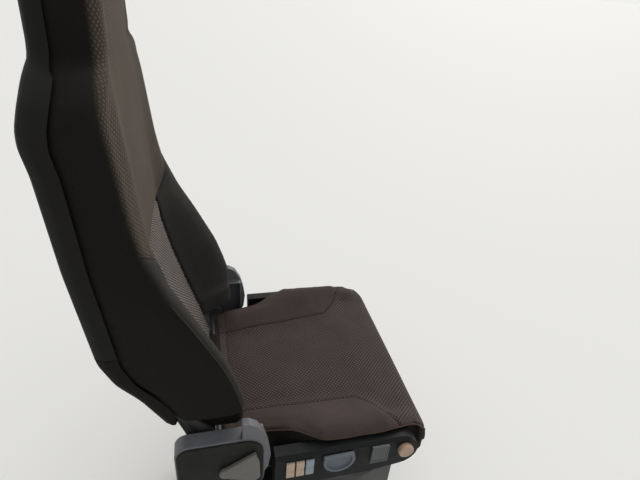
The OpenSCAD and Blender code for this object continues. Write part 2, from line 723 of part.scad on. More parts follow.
function bolster_edge(x) = bolster_top + bolster_slope * (abs(x) - insert_w / 2);
module back_bolster_right() {
    rows = [wing_low, step_z, step_z + 8, 616, 658, 712, 756, slant_z, 826, 852, bolster_top];
    steps = [0, 0.12, 0.3, 0.5, 0.7, 0.82, 0.9, 0.96, 1];
    function level(x, z) = z <= slant_z ? z
        : mix(slant_z, bolster_edge(x) - seam, (z - slant_z) / (bolster_top - slant_z));
    function place(s, z) = let (x = mix(insert_w / 2, back_w_at(z), s)) [x, level(x, z)];
    color("#20211f") mirror([1, 0, 0]) between(
        [for (s = steps) [for (z = rows) let (p = place(s, z)) [p[0], back_rear(p[0], p[1]) - frame_room, p[1]]]],
        [for (s = steps) [for (z = rows) let (p = place(s, z)) [p[0], back_front(p[0], p[1]), p[1]]]]);
}

module back_bolster_left() {
    driver_left() back_bolster_right();
}

module back_upper() {
    rows = [0, 0.15, 0.35, 0.55, 0.75, 0.84, 0.9, 0.96, 1];
    function low(x) = max(bolster_top, bolster_edge(x));
    function place(s, v) =
        let (x = s * back_w_at(mix(bolster_top + 60, head_z - seam, v))) [x, mix(low(x), head_z - seam, v)];
    steps = [-1, -0.97, -0.9, -0.75, -0.52, -0.25, 0, 0.25, 0.52, 0.75, 0.9, 0.97, 1];
    color("#5f564d") between(
        [for (s = steps) [for (v = rows) let (p = place(s, v)) [p[0], back_rear(p[0], p[1]) - frame_room, p[1]]]],
        [for (s = steps) [for (v = rows) let (p = place(s, v)) [p[0], back_front(p[0], p[1]), p[1]]]]);
}

module head_restraint() {
    rows = [head_z, head_z + 20, back_top - 75, back_top - 35, back_top - 19, back_top - 8, back_top];
    color("#62594f") between(
        [for (s = back_steps) [for (z = rows) let (x = s * back_w_at(z)) [x, max(back_rear(x, z) - 14, back_front(x, z) + 6), z]]],
        [for (s = back_steps) [for (z = rows) let (x = s * back_w_at(z)) [x, back_front(x, z), z]]]);
}

// Depth of the rear mouldings' rim at their long edges, by height: it closes most of the slot behind the pads
rim_depth = [[step_z + 8, shell_t], [620, 19], [head_z - 25, 19], [head_z - 6, 8]];
module rear_skin(rows) {
    rim = 0.97;
    steps = concat([-1, -rim, -0.955], [for (i = [2 : 10]) back_steps[i]], [0.955, rim, 1]);
    function depth(s, z) = abs(s) >= rim ? lookup(z, rim_depth) : shell_t;
    between(
        [for (s = steps) [for (z = rows) let (x = s * back_w_at(z)) [x, back_rear(x, z), z]]],
        [for (s = steps) [for (z = rows) let (x = s * back_w_at(z)) [x, back_rear(x, z) - depth(s, z), z]]]);
}

module back_shell() {
    color("#1b1c1d") rear_skin([shell_low, 850, 930, 1079, 1118, head_z - 65, head_z - 40, head_z - 25, head_z - 6,
        head_z + 20, back_top - 75, back_top - 35, back_top - 12, back_top]);
}

module back_lower_panel() {
    color("#131314") rear_skin([pad_low + 13, 545, step_z, step_z + 8, 620, 661, 707, 754, shell_low - 1]);
}

base_frame();
arm_pair_outer();
arm_pair_inner();
gaiter();
upper_frame();
slide_rails_lower();
slide_rails_upper();
seat_frame();
slide_handle();
recliner_bracket_right();
recliner_bracket_left();
fairing_right();
fairing_left();
switch_keys();
height_lever();
tilt_flap();
damper_knob();
recliner_cover_right();
recliner_cover_left();
recliner_disc_right();
recliner_disc_left();
recliner_lever();
tilt_frame();
cushion_pan();
cushion_insert();
cushion_bolster_right();
cushion_bolster_left();
back_frame();
back_insert();
back_bolster_right();
back_bolster_left();
back_upper();
head_restraint();
back_shell();
back_lower_panel();
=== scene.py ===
"""Looks of a bus driver's seat: sewn pads, moulded covers, controls, pressed steel and the folded gaiter.
Metres in Blender, millimetres in shape functions. Z is up, the seat faces -Y, the driver's right is -X."""

import bmesh
import bpy
import numpy as np
from mathutils import Matrix, Vector
from mathutils.bvhtree import BVHTree


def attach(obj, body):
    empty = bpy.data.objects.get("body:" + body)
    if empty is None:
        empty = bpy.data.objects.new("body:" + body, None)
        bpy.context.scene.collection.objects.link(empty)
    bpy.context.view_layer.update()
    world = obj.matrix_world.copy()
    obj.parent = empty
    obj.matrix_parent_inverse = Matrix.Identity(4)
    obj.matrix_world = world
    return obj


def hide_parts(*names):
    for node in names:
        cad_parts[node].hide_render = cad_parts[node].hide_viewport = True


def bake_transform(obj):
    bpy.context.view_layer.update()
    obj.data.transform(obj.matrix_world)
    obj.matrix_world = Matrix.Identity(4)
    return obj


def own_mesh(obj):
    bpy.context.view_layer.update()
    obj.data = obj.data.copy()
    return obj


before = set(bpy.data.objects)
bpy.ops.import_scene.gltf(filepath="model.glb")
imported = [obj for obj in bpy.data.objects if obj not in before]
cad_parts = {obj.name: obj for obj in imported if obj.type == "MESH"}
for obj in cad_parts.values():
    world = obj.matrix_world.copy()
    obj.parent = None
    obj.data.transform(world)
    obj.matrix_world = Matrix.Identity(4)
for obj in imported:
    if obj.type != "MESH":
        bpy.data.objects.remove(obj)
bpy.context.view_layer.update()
MM = 0.001

# sizes shared with the part, in millimetres
BASE_W, BASE_L = 330, 440
GAITER_LOW, GAITER_HIGH, GAITER_FOLDS, GAITER_STEP, GAITER_WALL, GAITER_CORNER = 43, 181, 5, 11, 2.3, 30
CUSHION_Z, CUSHION_W, BOLSTER_W, CUSHION_FRONT, CUSHION_REAR = 375, 468, 514, -290, 138
WING_UNDER, WING_START, LIP_UNDER = 495, -265, 425
EDGE_ROUND, FRONT_SEAM_Z = 20, 441
FAIRING_FACE, KNOB_Y, KNOB_Z = 271, -217, 459
BACK_W, INSERT_W, BACK_TOP, SHELL_T, FRAME_ROOM, HEAD_ROOM = 480, 250, 1375, 4, 26, 14
BOLSTER_TOP, BOLSTER_SLOPE, SLANT_Z, STEP_Z = 880, 0.7, 800, 585
HEAD_Z, PAD_LOW, WING_LOW, SHELL_LOW = 1205, 492, 534, 770
TUBE_Y, TUBE_Z = 166, 475

# sizes of the two rolls that close the gap between cushion and back, which only the scene has
ROLL_REAR, ROLL_HALF, ROLL_CREST, ROLL_THICK, ROLL_SUNK = 157, 200, 477, 28.4, 0.8
ROLL_ABOVE, ROLL_UNDER, ROLL_SIDE = 9, 14, 12
TAIL_R, TAIL_LEAN = 8.8, 15

# the five places over which a table is softened, as shares of its softening, with their weights
SOFTENING = ((-1, 0.15), (-0.5, 0.2), (0, 0.3), (0.5, 0.2), (1, 0.15))


def table(rows, soft=9):
    """A value read from a table of (place, value) rows, its corners softened by a mean of five places over
    soft millimetres to either side."""
    rows = np.array(rows, float)

    def value(t):
        t = np.asarray(t, float)
        return sum(w * np.interp(t + d * soft, rows[:, 0], rows[:, 1]) for d, w in SOFTENING)
    return value


# the cushion along Y: the heights of its insert and of its bolsters' crest, its share of the full width, and
# the half width of its insert
insert_z = table([(-290, 444), (-284, 470), (-270, 484), (-250, 489), (-180, 490), (-60, 481), (60, 474),
                  (140, 470)], 5)
crest_z = table([(-290, 444), (-284, 470), (-270, 487), (-240, 502), (-180, 514), (-40, 517), (35, 504),
                 (140, 488)], 5)
half_w = table([(-290, 0.93), (-280, 0.95), (-265, 0.965), (-240, 0.985), (-190, 1), (-40, 1), (0, 0.955),
                (38, 0.85), (60, 0.832), (140, 0.832)], 8)
insert_half = table([(-198, 229), (-175, 184), (-139, 148), (100, 131), (140, 130)], 5)

# the cushion's seams along Y: height of the edge seam, half width of the insert's seam
edge_seam_z = table([(-292, 440), (-284, 461), (-270, 478), (-258, 487), (-240, 495), (-202, 499.5),
                     (-160, 496.5), (-118, 496), (-85, 496), (-52, 498), (-39, 501.6), (-24, 504), (-12, 507),
                     (3, 508), (16, 505), (37, 499.6), (68, 497), (138, 484)], 3)
cloth_half = table([(-222, 264), (-198, 229), (-175, 184), (-139, 148), (100, 131), (140, 130)], 5)

# the back along Z: the depths of its insert, of its bolsters' crest and of its rear, its share of the full
# width, and the depth of its shell's rim
insert_y = table([(470, 168), (491, 172), (576, 193), (668, 221), (754, 245), (827, 260), (891, 267),
                  (1020, 273), (1110, 278), (1180, 281), (1205, 284), (1290, 280), (1345, 284), (1365, 293),
                  (1375, 306)])
crest_y = table([(470, 118), (532, 112), (616, 113), (658, 124), (712, 142), (800, 185), (873, 224),
                 (942, 248), (1020, 258), (1110, 267), (1180, 275), (1205, 280), (1290, 280), (1345, 285),
                 (1365, 295), (1375, 308)])
rear_y = table([(470, 220), (532, 237), (578, 253), (661, 301), (707, 337), (754, 356), (930, 374),
                (1079, 382), (1118, 388), (1145, 385), (1170, 380), (1205, 378), (1300, 376), (1345, 370),
                (1365, 361), (1375, 348)])
back_half = table([(585, 0.885), (593, 1), (1140, 1), (1165, 0.945), (1180, 0.875), (1195, 0.775),
                   (1205, 0.66), (1225, 0.63), (1340, 0.6), (1362, 0.55), (1375, 0.46)], 4)
rim_depth = table([(593, SHELL_T), (620, 19), (1192, 19), (1201, 10)], 2)


def mix(a, b, t):
    """A value on the way from a to b, at the share t."""
    return a + (b - a) * t


def smooth(t):
    """Eases from 0 to 1: three squares less two cubes of t held between 0 and 1."""
    t = np.clip(t, 0, 1)
    return t * t * (3 - 2 * t)


def round_off(t):
    """How far a quarter circle has fallen at t of its width, from 0 to 1."""
    t = np.clip(t, 0, 1)
    return 1 - np.sqrt(1 - t * t)


def quarter(out, radius):
    """How far an edge rounded by a quarter circle has fallen, at a distance out past the edge or, below 0,
    inside."""
    return radius * round_off((out + radius) / radius)


def cushion_half(y):
    """Half the cushion's width at a place along it."""
    return BOLSTER_W / 2 * half_w(y)


def cushion_top(x, y):
    """Insert height inside, crest height on the bolsters, eased between them from a foot a little inside
    the insert's edge to the crest, and falling in a quarter circle at the outer edge."""
    foot_share, crest_in = 0.8, 24
    a, w = np.abs(x), cushion_half(y)
    foot = np.minimum(insert_half(y), w - EDGE_ROUND) * foot_share
    rise = smooth((a - foot) / (w - crest_in - foot))
    return mix(insert_z(y), crest_z(y), rise) - quarter(a - w, EDGE_ROUND)


def cushion_under(x, y):
    """Flat on the pan, and stepped up over the fairings; the front corners hang down in front of the
    fairings."""
    beside = np.where(y < WING_START, LIP_UNDER, WING_UNDER)
    return np.where(np.abs(x) <= CUSHION_W / 2 + 0.5, CUSHION_Z, beside)


def back_w_at(z):
    """Half the backrest's width at a height."""
    return BACK_W / 2 * back_half(z)


def above_bolsters(z):
    """A share that grows evenly from 0 at the bolsters' top to 1 a hand's width above it."""
    return np.clip((z - BOLSTER_TOP) / 120, 0, 1)


def back_front(x, z):
    """Insert depth inside, crest depth on the bolsters, eased between them. The upper back turns back a
    little outside the crest, less and less towards the neck, and the outer edge is rounded by a quarter of
    an ellipse."""
    foot_in, crest_in, edge_w, edge_d, edge_share = 12, 26, 22, 24, 0.35
    turn_back, turn_in, turn_w, turn_fade = 9, 70, 50, 60
    a, w, i, low = np.abs(x), back_w_at(z), INSERT_W / 2, insert_y(z)
    rise = smooth((a - i + foot_in) / (w - crest_in - i + foot_in))
    fade = np.clip((HEAD_Z - z) / turn_fade, 0, 1)
    turn = turn_back * above_bolsters(z) * fade * smooth((a - w + turn_in) / turn_w)
    edge = np.minimum(edge_d, edge_share * (rear_y(z) - low)) * round_off((a - w + edge_w) / edge_w)
    return mix(low, crest_y(z), rise) + turn + edge


def back_rear(x, z):
    """Rear depth, rounded forward at both edges by a quarter of an ellipse."""
    edge_w, edge_d, edge_share = 30, 22, 0.25
    rear = rear_y(z)
    deep = np.minimum(edge_d, edge_share * (rear - insert_y(z)))
    return rear - deep * round_off((np.abs(x) - back_w_at(z) + edge_w) / edge_w)


# materials
def linear(code):
    """An sRGB hex colour as linear RGBA."""
    values = [int(code[k:k + 2], 16) / 255 for k in (1, 3, 5)]
    return tuple(v / 12.92 if v <= 0.04045 else ((v + 0.055) / 1.055) ** 2.4 for v in values) + (1.0,)


def add(tree, kind, sockets=(), **settings):
    """Adds a node with its settings, and sets or links its input sockets by name or number."""
    made = tree.nodes.new(kind)
    for key, value in settings.items():
        setattr(made, key, value)
    for key, value in dict(sockets).items():
        if isinstance(value, bpy.types.NodeSocket):
            tree.links.new(value, made.inputs[key])
        else:
            made.inputs[key].default_value = value
    return made


def surface(name, roughness, metallic=0.0, ior=1.5, specular=0.5, coat=0.0, sheen=0.0, sheen_tint="#ffffff"):
    """A material with one shader, its constant values on the shader's own sockets. Gives material, tree
    and shader."""
    material = bpy.data.materials.new(name)
    material.use_nodes = True
    tree = material.node_tree
    shader = tree.nodes["Principled BSDF"]
    values = {"Roughness": roughness, "Metallic": metallic, "IOR": ior, "Specular IOR Level": specular,
              "Coat Weight": coat, "Sheen Weight": sheen, "Sheen Roughness": 0.45,
              "Sheen Tint": linear(sheen_tint)}
    for socket, value in values.items():
        shader.inputs[socket].default_value = value
    return material, tree, shader


def plug(tree, shader, colour, bump, gloss=None):
    """Links a material's colour, its bump and, where it varies, its roughness to the shader."""
    tree.links.new(colour, shader.inputs["Base Color"])
    tree.links.new(bump.outputs[0], shader.inputs["Normal"])
    if gloss:
        tree.links.new(gloss.outputs[0], shader.inputs["Roughness"])


def per(size):
    """The scale at which a texture's pattern comes about every size millimetres."""
    return 1 / (size * MM)


def plush_pattern(tree, ground, dots, pitch=9.0, width=0.1):
    """Woven moquette plush: a short dark pile with small light loops in a staggered check, which read as
    fine dots. Two cosines, one across and one along, are multiplied, and their peaks are the loops: the
    pitch, in millimetres, is from dot to dot across and along, with the rows between them half a step on.
    It is drawn a little coarser than the real one, so that it shows. Gives colour and height."""
    patch, tuft = 62.5, 1.54
    weave = add(tree, "ShaderNodeUVMap", uv_map="weave")
    split = add(tree, "ShaderNodeSeparateXYZ", {0: weave.outputs[0]})
    turn = 2 * np.pi / (pitch * MM)
    waves = []
    for axis in (0, 1):
        phase = add(tree, "ShaderNodeMath", {0: split.outputs[axis], 1: turn}, operation="MULTIPLY")
        waves.append(add(tree, "ShaderNodeMath", {0: phase.outputs[0]}, operation="COSINE"))
    check = add(tree, "ShaderNodeMath", {0: waves[0].outputs[0], 1: waves[1].outputs[0]},
                operation="MULTIPLY")
    dot = add(tree, "ShaderNodeMapRange", {0: check.outputs[0], 1: width, 2: width + 0.35},
              interpolation_type="SMOOTHSTEP")
    place = add(tree, "ShaderNodeTexCoord").outputs["Object"]
    # Use has laid the pile this way and that in patches, and single tufts catch the light.
    patches = add(tree, "ShaderNodeTexNoise", {"Vector": place, "Scale": per(patch), "Detail": 3.0})
    tufts = add(tree, "ShaderNodeTexNoise", {"Vector": place, "Scale": per(tuft), "Detail": 2.0})
    base = add(tree, "ShaderNodeMix", {0: dot.outputs[0], 6: linear(ground), 7: linear(dots)},
               data_type="RGBA")
    shade = add(tree, "ShaderNodeMapRange", {0: patches.outputs[0], 1: 0.3, 2: 0.7, 3: 0.9, 4: 1.1})
    fleck = add(tree, "ShaderNodeMapRange", {0: tufts.outputs[0], 1: 0.3, 2: 0.7, 3: 0.8, 4: 1.2})
    tone = add(tree, "ShaderNodeMath", {0: shade.outputs[0], 1: fleck.outputs[0]}, operation="MULTIPLY")
    colour = add(tree, "ShaderNodeVectorMath", {0: base.outputs[2], 1: tone.outputs[0]},
                 operation="MULTIPLY")
    height = add(tree, "ShaderNodeMath", {0: dot.outputs[0], 1: tufts.outputs[0]}, operation="ADD")
    return colour.outputs[0], height.outputs[0]


def weave_pattern(tree, code, rub, thread=1.8):
    """Plain flat-woven cloth: two sines multiplied give a fine grid of crossing threads, rubbed paler in
    patches and linty. A real thread is about 0.6 mm; two or three are drawn as one, so that they show.
    Gives colour and height."""
    patch, speck = 91, 2.38
    weave = add(tree, "ShaderNodeUVMap", uv_map="weave")
    split = add(tree, "ShaderNodeSeparateXYZ", {0: weave.outputs[0]})
    turn = np.pi / (thread * MM)
    waves = []
    for axis in (0, 1):
        phase = add(tree, "ShaderNodeMath", {0: split.outputs[axis], 1: turn}, operation="MULTIPLY")
        waves.append(add(tree, "ShaderNodeMath", {0: phase.outputs[0]}, operation="SINE"))
    grid = add(tree, "ShaderNodeMath", {0: waves[0].outputs[0], 1: waves[1].outputs[0]},
               operation="MULTIPLY")
    place = add(tree, "ShaderNodeTexCoord").outputs["Object"]
    patches = add(tree, "ShaderNodeTexNoise", {"Vector": place, "Scale": per(patch), "Detail": 4.0})
    lint = add(tree, "ShaderNodeTexNoise", {"Vector": place, "Scale": per(speck), "Detail": 2.0})
    worn = add(tree, "ShaderNodeMapRange", {0: patches.outputs[0], 1: 0.35, 2: 0.75, 3: 0.0, 4: 0.4})
    base = add(tree, "ShaderNodeMix", {0: worn.outputs[0], 6: linear(code), 7: linear(rub)},
               data_type="RGBA")
    thread_tone = add(tree, "ShaderNodeMapRange", {0: grid.outputs[0], 1: -1.0, 2: 1.0, 3: 0.84, 4: 1.16})
    lint_tone = add(tree, "ShaderNodeMapRange", {0: lint.outputs[0], 1: 0.3, 2: 0.7, 3: 0.86, 4: 1.14})
    tone = add(tree, "ShaderNodeMath", {0: thread_tone.outputs[0], 1: lint_tone.outputs[0]},
               operation="MULTIPLY")
    colour = add(tree, "ShaderNodeVectorMath", {0: base.outputs[2], 1: tone.outputs[0]},
                 operation="MULTIPLY")
    return colour.outputs[0], grid.outputs[0]


def seat_cloth(name, pattern, values, layers=(), sheen=0.12, depth=0.5):
    """A seat cloth with its pattern, its threads standing depth millimetres high. Cloth breaks up its
    shine, so its specular level is low. Each layer is another cloth of the cover, (mark, softness,
    values): each point carries as mark its distance past a line in millimetres, and the layer takes over
    past it; the near-black side cloth taking over is partly painted shade. Where the softness is small
    the line is a seam, with painted shade in it and one row of stitches."""
    material, tree, shader = surface(name, 0.9, specular=0.18, sheen=sheen, sheen_tint="#8a8178")
    colour, height = pattern(tree, *values)
    for mark, soft, other in layers:
        past = add(tree, "ShaderNodeAttribute", attribute_name=mark).outputs["Fac"]
        over = add(tree, "ShaderNodeMapRange", {0: past, 1: -soft, 2: soft}, interpolation_type="SMOOTHSTEP")
        share = over.outputs[0]
        next_colour, next_height = weave_pattern(tree, *other)
        mixed = add(tree, "ShaderNodeMix", {0: share, 6: colour, 7: next_colour}, data_type="RGBA")
        colour = mixed.outputs[2]
        height = add(tree, "ShaderNodeMix", {0: share, 2: height, 3: next_height}).outputs[0]
        if soft < 1:
            colour, height = sewn(tree, colour, height, past)
    bump = add(tree, "ShaderNodeBump", {"Height": height, "Strength": 0.5, "Distance": depth * MM})
    plug(tree, shader, colour, bump)
    return material


def sewn(tree, colour, height, past):
    """The shade in a seam, and a row of stitches a little in front of it: past is the distance past the
    seam in millimetres, and the dashes come from the remainder of the length along the cloth."""
    step, stitch_long, row_at, row_half = 6, 4, -5.0, 0.7
    # painted shade: the colour is darkened to 0.35 in the seam's groove, fading out by 2.2 mm
    away = add(tree, "ShaderNodeMath", {0: past}, operation="ABSOLUTE")
    shade = add(tree, "ShaderNodeMapRange", {0: away.outputs[0], 1: 0.6, 2: 2.2, 3: 0.35, 4: 1.0},
                interpolation_type="SMOOTHSTEP")
    shaded = add(tree, "ShaderNodeVectorMath", {0: colour, 1: shade.outputs[0]}, operation="MULTIPLY")
    weave = add(tree, "ShaderNodeUVMap", uv_map="weave")
    split = add(tree, "ShaderNodeSeparateXYZ", {0: weave.outputs[0]})
    repeat = add(tree, "ShaderNodeMath", {0: split.outputs[1], 1: step * MM}, operation="FLOORED_MODULO")
    dash = add(tree, "ShaderNodeMath", {0: repeat.outputs[0], 1: stitch_long * MM}, operation="LESS_THAN")
    row = add(tree, "ShaderNodeMath", {0: past, 1: row_at, 2: row_half}, operation="COMPARE")
    stitch = add(tree, "ShaderNodeMath", {0: dash.outputs[0], 1: row.outputs[0]}, operation="MULTIPLY")
    thread = linear(STITCH_THREAD)
    threaded = add(tree, "ShaderNodeMix", {0: stitch.outputs[0], 6: shaded.outputs[0], 7: thread},
                   data_type="RGBA")
    raised = add(tree, "ShaderNodeMath", {0: stitch.outputs[0], 1: 2.0, 2: height}, operation="MULTIPLY_ADD")
    return threaded.outputs[2], raised.outputs[0]


def moulded(name, code, worn, grain=1.1, depth=0.12, roughness=0.5, spread=0.12, specular=0.4, rubbed=0.3):
    """Injection-moulded plastic: a pebbled grain from the etched tool, paler and smoother where hands and
    shoes rub. The etched grain is about 0.6 mm; it is drawn at about 1 mm, so that it shows. Grain and its
    depth are in millimetres, spread is how much the roughness varies, rubbed how much of the worn colour
    shows."""
    patch, scuff = 45.5, 6.25
    material, tree, shader = surface(name, roughness, ior=1.49, specular=specular)
    place = add(tree, "ShaderNodeTexCoord").outputs["Object"]
    pebbles = add(tree, "ShaderNodeTexVoronoi", {"Vector": place, "Scale": per(grain)}, feature="SMOOTH_F1")
    patches = add(tree, "ShaderNodeTexNoise", {"Vector": place, "Scale": per(patch), "Detail": 5.0})
    scuffs = add(tree, "ShaderNodeTexNoise", {"Vector": place, "Scale": per(scuff), "Detail": 3.0})
    shape = add(tree, "ShaderNodeNewGeometry")
    edge = add(tree, "ShaderNodeMapRange", {0: shape.outputs["Pointiness"], 1: 0.5, 2: 0.58, 3: 0.0, 4: 0.5})
    rub = add(tree, "ShaderNodeMapRange", {0: patches.outputs[0], 1: 0.45, 2: 0.8, 3: 0.0, 4: rubbed})
    amount = add(tree, "ShaderNodeMath", {0: edge.outputs[0], 1: rub.outputs[0]},
                 operation="ADD", use_clamp=True)
    marked = add(tree, "ShaderNodeMath", {0: amount.outputs[0], 1: scuffs.outputs[0]}, operation="MULTIPLY")
    base = add(tree, "ShaderNodeMix", {0: marked.outputs[0], 6: linear(code), 7: linear(worn)},
               data_type="RGBA")
    gloss = add(tree, "ShaderNodeMapRange",
                {0: patches.outputs[0], 1: 0.3, 2: 0.7, 3: roughness - spread, 4: roughness + spread})
    bump = add(tree, "ShaderNodeBump",
               {"Height": pebbles.outputs[0], "Strength": 0.5, "Distance": depth * MM})
    plug(tree, shader, base.outputs[2], bump, gloss)
    return material


def coated_steel(name, code, chip):
    """Pressed steel with a baked powder coat: faint orange peel, dust in patches and a few bare rubbed
    edges."""
    peel_size, patch, peel_depth = 2.38, 55.6, 0.3
    material, tree, shader = surface(name, 0.42, specular=0.4, coat=0.1)
    place = add(tree, "ShaderNodeTexCoord").outputs["Object"]
    peel = add(tree, "ShaderNodeTexNoise", {"Vector": place, "Scale": per(peel_size), "Detail": 2.0})
    dust = add(tree, "ShaderNodeTexNoise", {"Vector": place, "Scale": per(patch), "Detail": 5.0})
    shape = add(tree, "ShaderNodeNewGeometry")
    edge = add(tree, "ShaderNodeMapRange", {0: shape.outputs["Pointiness"], 1: 0.52, 2: 0.6, 3: 0.0, 4: 0.7})
    dusty = add(tree, "ShaderNodeMapRange", {0: dust.outputs[0], 1: 0.42, 2: 0.75, 3: 0.0, 4: 0.28})
    amount = add(tree, "ShaderNodeMath", {0: edge.outputs[0], 1: dusty.outputs[0]},
                 operation="ADD", use_clamp=True)
    base = add(tree, "ShaderNodeMix", {0: amount.outputs[0], 6: linear(code), 7: linear(chip)},
               data_type="RGBA")
    gloss = add(tree, "ShaderNodeMapRange", {0: dust.outputs[0], 1: 0.3, 2: 0.7, 3: 0.34, 4: 0.62})
    bump = add(tree, "ShaderNodeBump",
               {"Height": peel.outputs[0], "Strength": 0.25, "Distance": peel_depth * MM})
    plug(tree, shader, base.outputs[2], bump, gloss)
    return material


def zinc_steel(name, code, dull):
    """Drawn steel, zinc plated: a grey metal with fine lines along the draw, which are drawn about 1 mm
    apart so that they show, and cloudy dull patches."""
    line_w, line_long, patch, line_depth = 1.11, 40, 28.6, 0.1
    material, tree, shader = surface(name, 0.36, metallic=0.9)
    place = add(tree, "ShaderNodeTexCoord").outputs["Object"]
    draw = add(tree, "ShaderNodeMapping", {0: place, 3: (per(line_w), per(line_long), per(line_w))})
    lines = add(tree, "ShaderNodeTexNoise", {"Vector": draw.outputs[0], "Scale": 1.0, "Detail": 2.0})
    cloud = add(tree, "ShaderNodeTexNoise", {"Vector": place, "Scale": per(patch), "Detail": 4.0})
    base = add(tree, "ShaderNodeMix", {0: cloud.outputs[0], 6: linear(code), 7: linear(dull)},
               data_type="RGBA")
    gloss = add(tree, "ShaderNodeMapRange", {0: lines.outputs[0], 1: 0.3, 2: 0.7, 3: 0.28, 4: 0.52})
    bump = add(tree, "ShaderNodeBump",
               {"Height": lines.outputs[0], "Strength": 0.15, "Distance": line_depth * MM})
    plug(tree, shader, base.outputs[2], bump, gloss)
    return material


def coated_cloth(name, code, dusty):
    """Rubber-coated gaiter cloth: dull black, the weave just printing through, dust greyer on the upper
    faces of the folds. The weave of about 0.5 mm is drawn at 2 mm, so that it shows."""
    thread, patch, thread_depth = 2.08, 38.5, 0.2
    material, tree, shader = surface(name, 0.72, specular=0.3, sheen=0.08)
    place = add(tree, "ShaderNodeTexCoord").outputs["Object"]
    weave = add(tree, "ShaderNodeTexVoronoi", {"Vector": place, "Scale": per(thread)})
    shape = add(tree, "ShaderNodeNewGeometry")
    split = add(tree, "ShaderNodeSeparateXYZ", {0: shape.outputs["Normal"]})
    cloud = add(tree, "ShaderNodeTexNoise", {"Vector": place, "Scale": per(patch), "Detail": 4.0})
    up = add(tree, "ShaderNodeMapRange", {0: split.outputs[2], 1: 0.1, 2: 0.9, 3: 0.0, 4: 0.8})
    amount = add(tree, "ShaderNodeMath", {0: up.outputs[0], 1: cloud.outputs[0]}, operation="MULTIPLY")
    base = add(tree, "ShaderNodeMix", {0: amount.outputs[0], 6: linear(code), 7: linear(dusty)},
               data_type="RGBA")
    bump = add(tree, "ShaderNodeBump",
               {"Height": weave.outputs[0], "Strength": 0.3, "Distance": thread_depth * MM})
    plug(tree, shader, base.outputs[2], bump)
    return material


# flat-woven cloths as (colour, rubbed colour), and the stitches' thread. The side cloth's near black
# is partly its own dark colour and partly painted shade of the sides, which turn away from the light
SIDE_WEAVE_AND_SHADE = ("#0e0c0a", "#19140f")
BOLSTER_WEAVE = ("#272523", "#35312d")
CUSHION_WEAVE = ("#3f3633", "#574c48")
STITCH_THREAD = "#2e2b28"

FINISHES = {
    "painted_frame": coated_steel("powder_coated_steel", "#222325", "#4b4a47"),
    "zinc_steel": zinc_steel("zinc_plated_steel", "#8b8d8f", "#63656a"),
    "gaiter_rubber": coated_cloth("rubber_coated_cloth", "#141415", "#3d3b38"),
    "dark_plastic": moulded("grained_black_polypropylene", "#0f1011", "#232527", roughness=0.55,
                            specular=0.15),
    "key_plastic": moulded("cream_abs", "#a8927f", "#c4b3a3", grain=0.8, depth=0.05, roughness=0.38),
    "lever_plastic": moulded("blue_grey_abs", "#4b545b", "#6d777e", grain=0.8, depth=0.06, roughness=0.4),
    "flap_plastic": moulded("grey_abs", "#3e4242", "#5a5e5e", grain=0.8, depth=0.06, roughness=0.42),
    "knob_plastic": moulded("cream_polyamide", "#a88c75", "#c9b19c", grain=0.8, depth=0.05, roughness=0.4),
    "cover_plastic": moulded("mid_grey_grained_abs", "#5a5b5e", "#797a7e", grain=1.2, roughness=0.5),
    "disc_plastic": moulded("black_grained_abs", "#10100c", "#22221d", grain=1.0, roughness=0.55,
                            specular=0.2),
    "recline_plastic": moulded("warm_grey_glass_filled_nylon", "#5b5954", "#797771", grain=0.9, depth=0.07,
                               roughness=0.45),
    "patterned_fabric": seat_cloth("dotted_moquette_plush", plush_pattern, ("#383431", "#857e7a")),
    # the side cloth, near black: partly its own colour, partly painted shade
    "plain_fabric": seat_cloth("flat_woven_side_cloth_and_shade", weave_pattern, SIDE_WEAVE_AND_SHADE, sheen=0.04, depth=0.3),
    "shell_plastic": moulded("grained_black_back_shell", "#100f0e", "#211f1d", grain=1.3, roughness=0.65,
                             spread=0.04, specular=0.15, rubbed=0.05),
}
BLUE_KEY = moulded("blue_grey_key_abs", "#7d8892", "#9aa4ac", grain=0.8, depth=0.05, roughness=0.38)
# past the turn to its side, the back cover's plush goes over in a soft blend 6 mm wide to the near-black side
# cloth: painted shade of the rounded edge as it turns away from the light, over the side's own dark cloth
COVER_PLUSH = seat_cloth("dotted_moquette_plush_cover", plush_pattern, ("#3a342c", "#564e43", 9.0, 0.2),
                         (("below_edge", 0.5, BOLSTER_WEAVE), ("past_seam", 6.0, SIDE_WEAVE_AND_SHADE)))
# below the piping the cushion's side goes over to the near-black side cloth, partly painted shade
CUSHION_COVER = seat_cloth("dotted_moquette_plush_cushion", plush_pattern, ("#362d2b", "#594f4a"),
                           (("past_insert", 0.5, CUSHION_WEAVE), ("past_seam", 0.5, SIDE_WEAVE_AND_SHADE)), sheen=0.15)
PIPING = seat_cloth("light_piping_cloth", weave_pattern, ("#493b2f", "#5f4f40", 1.2), sheen=0.05, depth=0.3)
DARK_PIPING = seat_cloth("dark_piping_cloth", weave_pattern, ("#2e2a25", "#433d36", 1.2), sheen=0.08,
                         depth=0.3)


# mesh making
# distances in metres within which doubled points become one, in a new mesh and in a CAD node's triangles
DOUBLES, CAD_DOUBLES = 1e-6, 2e-6

# of what a pad's point has sunk below its form, the share that the foam core holds out
CORE_HOLD = 0.7


def shade_smooth(mesh, sharp=180.0):
    """Shades the mesh smooth, apart from edges sharper than an angle in degrees."""
    mesh.polygons.foreach_set("use_smooth", np.ones(len(mesh.polygons), bool))
    if sharp < 180:
        mesh.set_sharp_from_angle(angle=np.radians(sharp))


